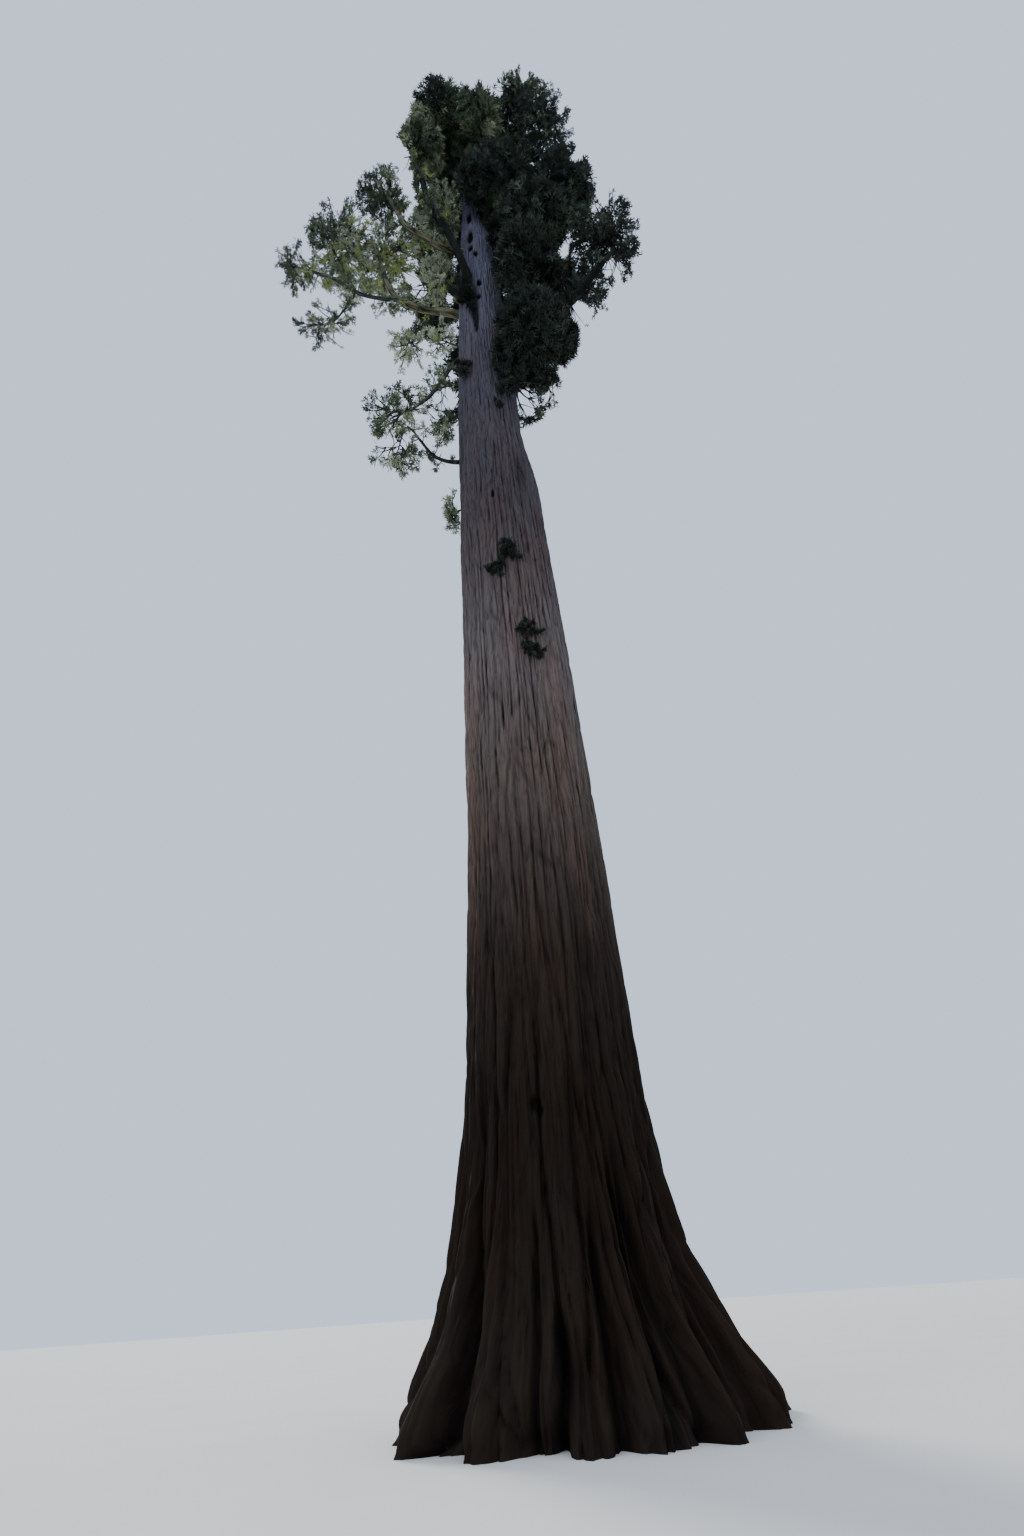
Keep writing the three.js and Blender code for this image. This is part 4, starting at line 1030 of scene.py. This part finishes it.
# Small leafy tufts that sit on the trunk itself: height, heading, radius
trunkTufts = [(17.5, -39.4, 0.30), (17.05, 35.0, 0.40), (16.3, 27.0, 0.30), (15.6, 16.0, 0.17),
              (10.45, 4.6, 0.22), (10.2, 5.5, 0.17), (9.95, -19.0, 0.14), (9.95, -12.0, 0.15),
              (8.4, 12.0, 0.17), (8.5, 18.0, 0.15), (8.05, 14.0, 0.16), (8.0, 22.0, 0.13),
              (23.0, -52.0, 0.32), (22.5, -44.0, 0.30), (21.9, -34.0, 0.22), (22.3, -36.0, 0.24),
              (21.2, -24.0, 0.12), (22.0, -41.0, 0.26)]
# light 0.02 puts all their sprays in the darkest tier: painted shade
trunkTuft = {"twigs": 9, "sprays": 30, "light": 0.02}
for order, (height, heading, radius) in enumerate(trunkTufts):
    chance = np.random.default_rng(seeds["trunk"] + order)
    angle = math.radians(heading)
    outward = np.array([math.sin(angle), -math.cos(angle), 0])
    bark = middleAt(height) + outward * float(trunkRadius(np.array(height), np.array(float(heading))))
    for _ in range(trunkTuft["twigs"]):
        root = bark - outward * 0.08 + randomUnit(1, chance)[0] * (1, 1, 1.4) * radius * 0.5
        middle = root + unit(outward * 1.0 + randomUnit(1, chance)[0] * 0.8) * (radius * 0.45 + 0.08)
        keepWood("column", "twigs", np.linspace(root, middle, 3), twigGirth["trunk"])
        growTuft("column", chance, root, middle, outward, radius * 0.42, trunkTuft["sprays"],
                 trunkTuft["light"])

# Twigs with tufts along the limbs: how many, from which share of the length, twig length, tuft radius,
# how light
limbTufts = {
    "left": {
        "bough_left": (9, 0.55, 0.35, 0.13, 0.56), "bough_left_rise": (22, 0.20, 0.60, 0.15, 0.62),
        "bough_left_outer": (38, 0.04, 0.50, 0.14, 0.66), "bough_left_crest": (14, 0.15, 0.42, 0.14, 0.50),
        "bough_left_drop": (14, 0.15, 0.32, 0.13, 0.54), "bough_left_high": (20, 0.45, 0.45, 0.14, 0.48),
        "bough_left_front": (70, 0.42, 0.36, 0.18, 0.36)},
    "low": {"bough_low_upper": (16, 0.35, 0.34, 0.13, 0.54), "bough_low_lower": (10, 0.45, 0.34, 0.13, 0.54)},
    "column": {
        "bough_right_shoulder": (26, 0.15, 0.60, 0.20, 0.12), "bough_right_far": (46, 0.15, 0.55, 0.18, 0.12),
        "bough_right_outer": (20, 0.15, 0.50, 0.17, 0.12)},
    "top": {"bough_top_right": (34, 0.30, 0.60, 0.20, 0.20)}
}
boughOrder = list(boughs)
for region, limbs in limbTufts.items():
    for name, (count, first, reach, radius, light) in limbs.items():
        chance = np.random.default_rng(seeds["limbs"] + boughOrder.index(name))
        shares = first + (1 - first) * (np.arange(count) + chance.random(count)) / count
        for spot in lineAt(boughs[name][2], shares):
            outward = unit(randomUnit(1, chance)[0] + (0, 0, 0.45))
            middle = spot + outward * reach * (0.35 + 0.65 * chance.random())
            bow = (spot + middle) / 2 + (0, 0, -0.03)
            keepWood(region, "twigs", np.stack([spot, bow, middle]), twigGirth["limb"])
            # a share of the left limbs' tufts get painted sunlight
            growTuft(region, chance, spot, middle, outward, radius, 12, light + chance.normal() * 0.08,
                     sunlitTuft=region == "left" and chance.random() < 0.3)

# Twigs that reach a place between the masses: root as a height on the trunk or a share of a limb, end, tufts,
# tuft radius, region, how light
gapTwigs = [
    (30.5, (1.6, -2.3, 33.69), 16, 0.24, "top", 0.2),
    (24.6, (0.42, -1.4, 26.03), 12, 0.24, "front", 0.1),
    (26.8, (0.45, -0.9, 28.1), 10, 0.24, "front", 0.1),
    (22.4, (0.5, -1.0, 23.5), 8, 0.24, "column", 0.1),
    (17.4, (0.29, -1.28, 17.9), 10, 0.20, "column", 0.02),
    (("bough_left_outer", 0.12), (-3.3, -1.0, 23.75), 14, 0.15, "left", 0.65),
    (("bough_left_crest", 1), (-5.05, -1.8, 26.5), 10, 0.15, "left", 0.4),
    (("bough_left", 0.85), (-2.47, -0.85, 22.2), 6, 0.13, "left", 0.54),
    (("bough_left_outer", 0.6), (-4.35, -1.3, 23.3), 8, 0.14, "left", 0.6),
    (("bough_right_far", 0.95), (2.63, -1.5, 23.9), 7, 0.18, "front", 0.12),
    (("bough_top_right", 0.6), (2.05, -2.2, 29.85), 9, 0.18, "front", 0.12),
    (("bough_right_far", 1), (2.85, -1.6, 25.0), 9, 0.18, "front", 0.14),
    (("bough_low_upper", 1), (-2.4, -0.95, 15.05), 8, 0.13, "low", 0.54),
    (("bough_low_upper", 0.8), (-2.18, -0.9, 16.6), 6, 0.13, "low", 0.54)
]
for order, (start, end, count, radius, region, light) in enumerate(gapTwigs):
    chance = np.random.default_rng(seeds["gaps"] + order)
    root = lineAt(boughs[start[0]][2], [start[1]])[0] if isinstance(start, tuple) else middleAt(start)
    keepWood(region, "twigs", lineAt([root, (root + end) / 2 + (0, 0, 0.1), end], np.linspace(0, 1, 6)),
             np.linspace(radius * 0.14, 0.010, 6))
    for _ in range(count):
        outward = randomUnit(1, chance)[0]
        middle = np.array(end) + outward * radius * 1.35 * chance.random() ** 0.5
        growTuft(region, chance, np.array(end) - outward * radius * 0.4, middle, outward, radius, 14,
                 light + chance.normal() * 0.06)
print("grown", {"_".join(key): len(rows) for key, rows in wood.items()})


# Runs a Geometry Nodes tree on points or lines and keeps the result as a plain mesh
def grownPiece(name, points, edges, layers, tree, inputs):
    mesh = bpy.data.meshes.new("seed")
    mesh.from_pydata(points.tolist(), edges, [])
    seed = linked("seed", mesh)
    addAttributes(seed, **layers)
    modifier = seed.modifiers.new("grow", "NODES")
    modifier.node_group = tree
    for socket in tree.interface.items_tree:
        if socket.in_out == "INPUT" and socket.name in inputs:
            modifier[socket.identifier] = inputs[socket.name]
    depsgraph = bpy.context.evaluated_depsgraph_get()
    mesh = bpy.data.meshes.new_from_object(seed.evaluated_get(depsgraph), depsgraph=depsgraph)
    mesh.name = name
    bpy.data.objects.remove(seed)
    return linked(name, mesh)


def newTree(name, sockets):
    tree = bpy.data.node_groups.new(name, "GeometryNodeTree")
    for label, (kind, default) in sockets.items():
        socket = tree.interface.new_socket(label, in_out="INPUT", socket_type="NodeSocket" + kind)
        if default is not None:
            socket.default_value = default
    tree.interface.new_socket("Geometry", in_out="OUTPUT", socket_type="NodeSocketGeometry")
    graph = Graph(tree)
    source = graph.node("NodeGroupInput").socket.node
    return graph, {label: Value(graph, source.outputs[label]) for label in sockets}


def endTree(graph, geometry, material):
    whole = graph.node("GeometryNodeRealizeInstances", None, {"Geometry": geometry})
    whole = graph.node("GeometryNodeSetMaterial", None, {"Geometry": whole, "Material": material})
    graph.node("NodeGroupOutput", None, {"Geometry": whole})
    return graph.tree


def named(graph, name, kind):
    return graph.node("GeometryNodeInputNamedAttribute", {"data_type": kind}, {"Name": name})


# Wood: every line becomes a tapering limb
def woodTree():
    graph, given = newTree("limbs_from_lines", {
        "Geometry": ("Geometry", None), "Sides": ("Int", 4), "Thickness": ("Float", 1.0),
        "Bark": ("Material", None)})
    line = graph.node("GeometryNodeMeshToCurve", None, {"Mesh": given["Geometry"]})
    outline = graph.node("GeometryNodeCurvePrimitiveCircle", None,
                         {"Resolution": given["Sides"], "Radius": 1.0}, "Curve")
    girth = named(graph, "girth", "FLOAT") * given["Thickness"]
    limb = graph.node("GeometryNodeCurveToMesh", None,
                      {"Curve": line, "Profile Curve": outline, "Scale": girth, "Fill Caps": True})
    return endTree(graph, limb, given["Bark"])


handLabels = ("Spray A", "Spray B", "Spray C")


# Sprays: one of three hands of shoots stands on each point
def sprayTree():
    graph, given = newTree("sprays_on_points", {
        "Geometry": ("Geometry", None), **dict.fromkeys(handLabels, ("Object", None)),
        "Spray Scale": ("Float", 1.0), "Size Jitter": ("Float", 0.12), "Seed": ("Int", 7),
        "Leaf": ("Material", None)})
    join = graph.tree.nodes.new("GeometryNodeJoinGeometry")
    for label in handLabels[::-1]:
        hand = graph.node("GeometryNodeObjectInfo", None, {"Object": given[label], "As Instance": True},
                          "Geometry")
        graph.tree.links.new(hand.socket, join.inputs[0])
    turn = graph.node("FunctionNodeAxesToRotation", {"primary_axis": "Y", "secondary_axis": "Z"},
                      {0: named(graph, "ahead", "FLOAT_VECTOR"), 1: named(graph, "face", "FLOAT_VECTOR")})
    jitter = given["Size Jitter"]
    change = graph.node("FunctionNodeRandomValue", {"data_type": "FLOAT"},
                        {"Min": 1 - jitter, "Max": 1 + jitter, "Seed": given["Seed"]}, 1)
    made = graph.node("GeometryNodeInstanceOnPoints", None, {
        "Points": given["Geometry"], "Instance": Value(graph, join.outputs[0]), "Pick Instance": True,
        "Instance Index": named(graph, "pick", "INT"), "Rotation": turn,
        "Scale": named(graph, "size", "FLOAT") * given["Spray Scale"] * change})
    return endTree(graph, made, given["Leaf"])


# A hand of shoots, one unit long along Y: where each leaves the stem, its angle, length, width and lift
sprayShapes = {
    "spray_a": [(0.00, 3, 1.00, 0.17, 0.02), (0.10, 50, 0.52, 0.15, 0.10), (0.24, -47, 0.55, 0.15, 0.08),
                (0.42, 41, 0.44, 0.14, 0.06), (0.56, -37, 0.38, 0.13, 0.05)],
    "spray_b": [(0.00, -4, 0.95, 0.18, 0.05), (0.06, -56, 0.50, 0.15, 0.12), (0.20, 45, 0.56, 0.16, 0.04),
                (0.38, -42, 0.48, 0.15, 0.10), (0.52, 36, 0.40, 0.13, 0.03)],
    "spray_c": [(0.00, 6, 0.90, 0.17, 0.08), (0.04, 60, 0.46, 0.16, 0.02), (0.16, -52, 0.52, 0.16, 0.12),
                (0.34, 38, 0.52, 0.15, 0.09), (0.50, -34, 0.46, 0.14, 0.02)]
}


def buildHand(name, shoots):
    points, faces = [], []
    for root, angle, length, width, lift in shoots:
        ahead = np.array([math.sin(math.radians(angle)), math.cos(math.radians(angle)), 0])
        across = np.array([ahead[1], -ahead[0], 0])
        base, up = np.array([0, root, 0]), np.array([0, 0, 1])
        first, side, raised = len(points), across * width / 2, up * (lift + 0.035) * length
        points += [base, base + ahead * length * 0.48 + side + raised,
                   base + ahead * length + up * lift * 1.7 * length,
                   base + ahead * length * 0.42 - side + raised]
        faces += [[first, first + 1, first + 2], [first, first + 2, first + 3]]
    return newPiece(name, points, faces, litBoughBark, smooth=False)


def leafMaterial(name, colour):
    material, graph = newMaterial(name)
    place = graph.node("ShaderNodeTexCoord", output="Object")
    grainOfLeaf = graph.noise(place, 60, 2, 0.6)
    lighter = tuple(min(1, part * 1.25) for part in colour)
    darker = tuple(part * 0.8 for part in colour)
    endMaterial(graph, graph.mix(grainOfLeaf, darker, lighter), 0.62 + grainOfLeaf * 0.15, specular=0.25)
    return material


regionNodes = {}
for cell in cells:
    regionNodes.setdefault(cell["region"], []).append("foliage_" + cell["name"])
woodRule, sprayRule = woodTree(), sprayTree()
hands = {label: buildHand(*shape) for label, shape in zip(handLabels, sprayShapes.items())}
for (level, region), lines in wood.items():
    points = np.vstack([line for line, _ in lines])
    ends = np.cumsum([len(line) for line, _ in lines]) - 1
    edges = np.stack([np.arange(len(points) - 1), np.arange(1, len(points))], axis=-1)
    edges = edges[~np.isin(edges[:, 0], ends)].tolist()
    girth = np.concatenate([thickness for _, thickness in lines])
    inputs = {"Sides": 6 if level == "branches" else 3,
              "Bark": litTwigBark if region in ("left", "low") else shadedTwigBark}
    piece = grownPiece(f"{level}_{region}", points, edges, {"girth": girth}, woodRule, inputs)
    dress(piece, "bough_bark", *regionNodes[region])
    print(piece.name, len(piece.data.polygons), "faces")
leaves = {name: leafMaterial("leaf_" + name, colour) for name, (_, colour, _) in shades.items()}
for (region, shade), parts in sprays.items():
    roots, *columns = (np.concatenate(column) for column in zip(*parts))
    layers = dict(zip(("ahead", "face", "size", "pick"), columns))
    inputs = {**hands, "Leaf": leaves[shade]}
    piece = grownPiece(f"sprays_{region}_{shade}", roots, [], layers, sprayRule, inputs)
    dress(piece, shades[shade][2], *regionNodes[region])
    print(piece.name, len(roots), "sprays", len(piece.data.polygons), "faces")
for hand in hands.values():
    bpy.data.objects.remove(hand)
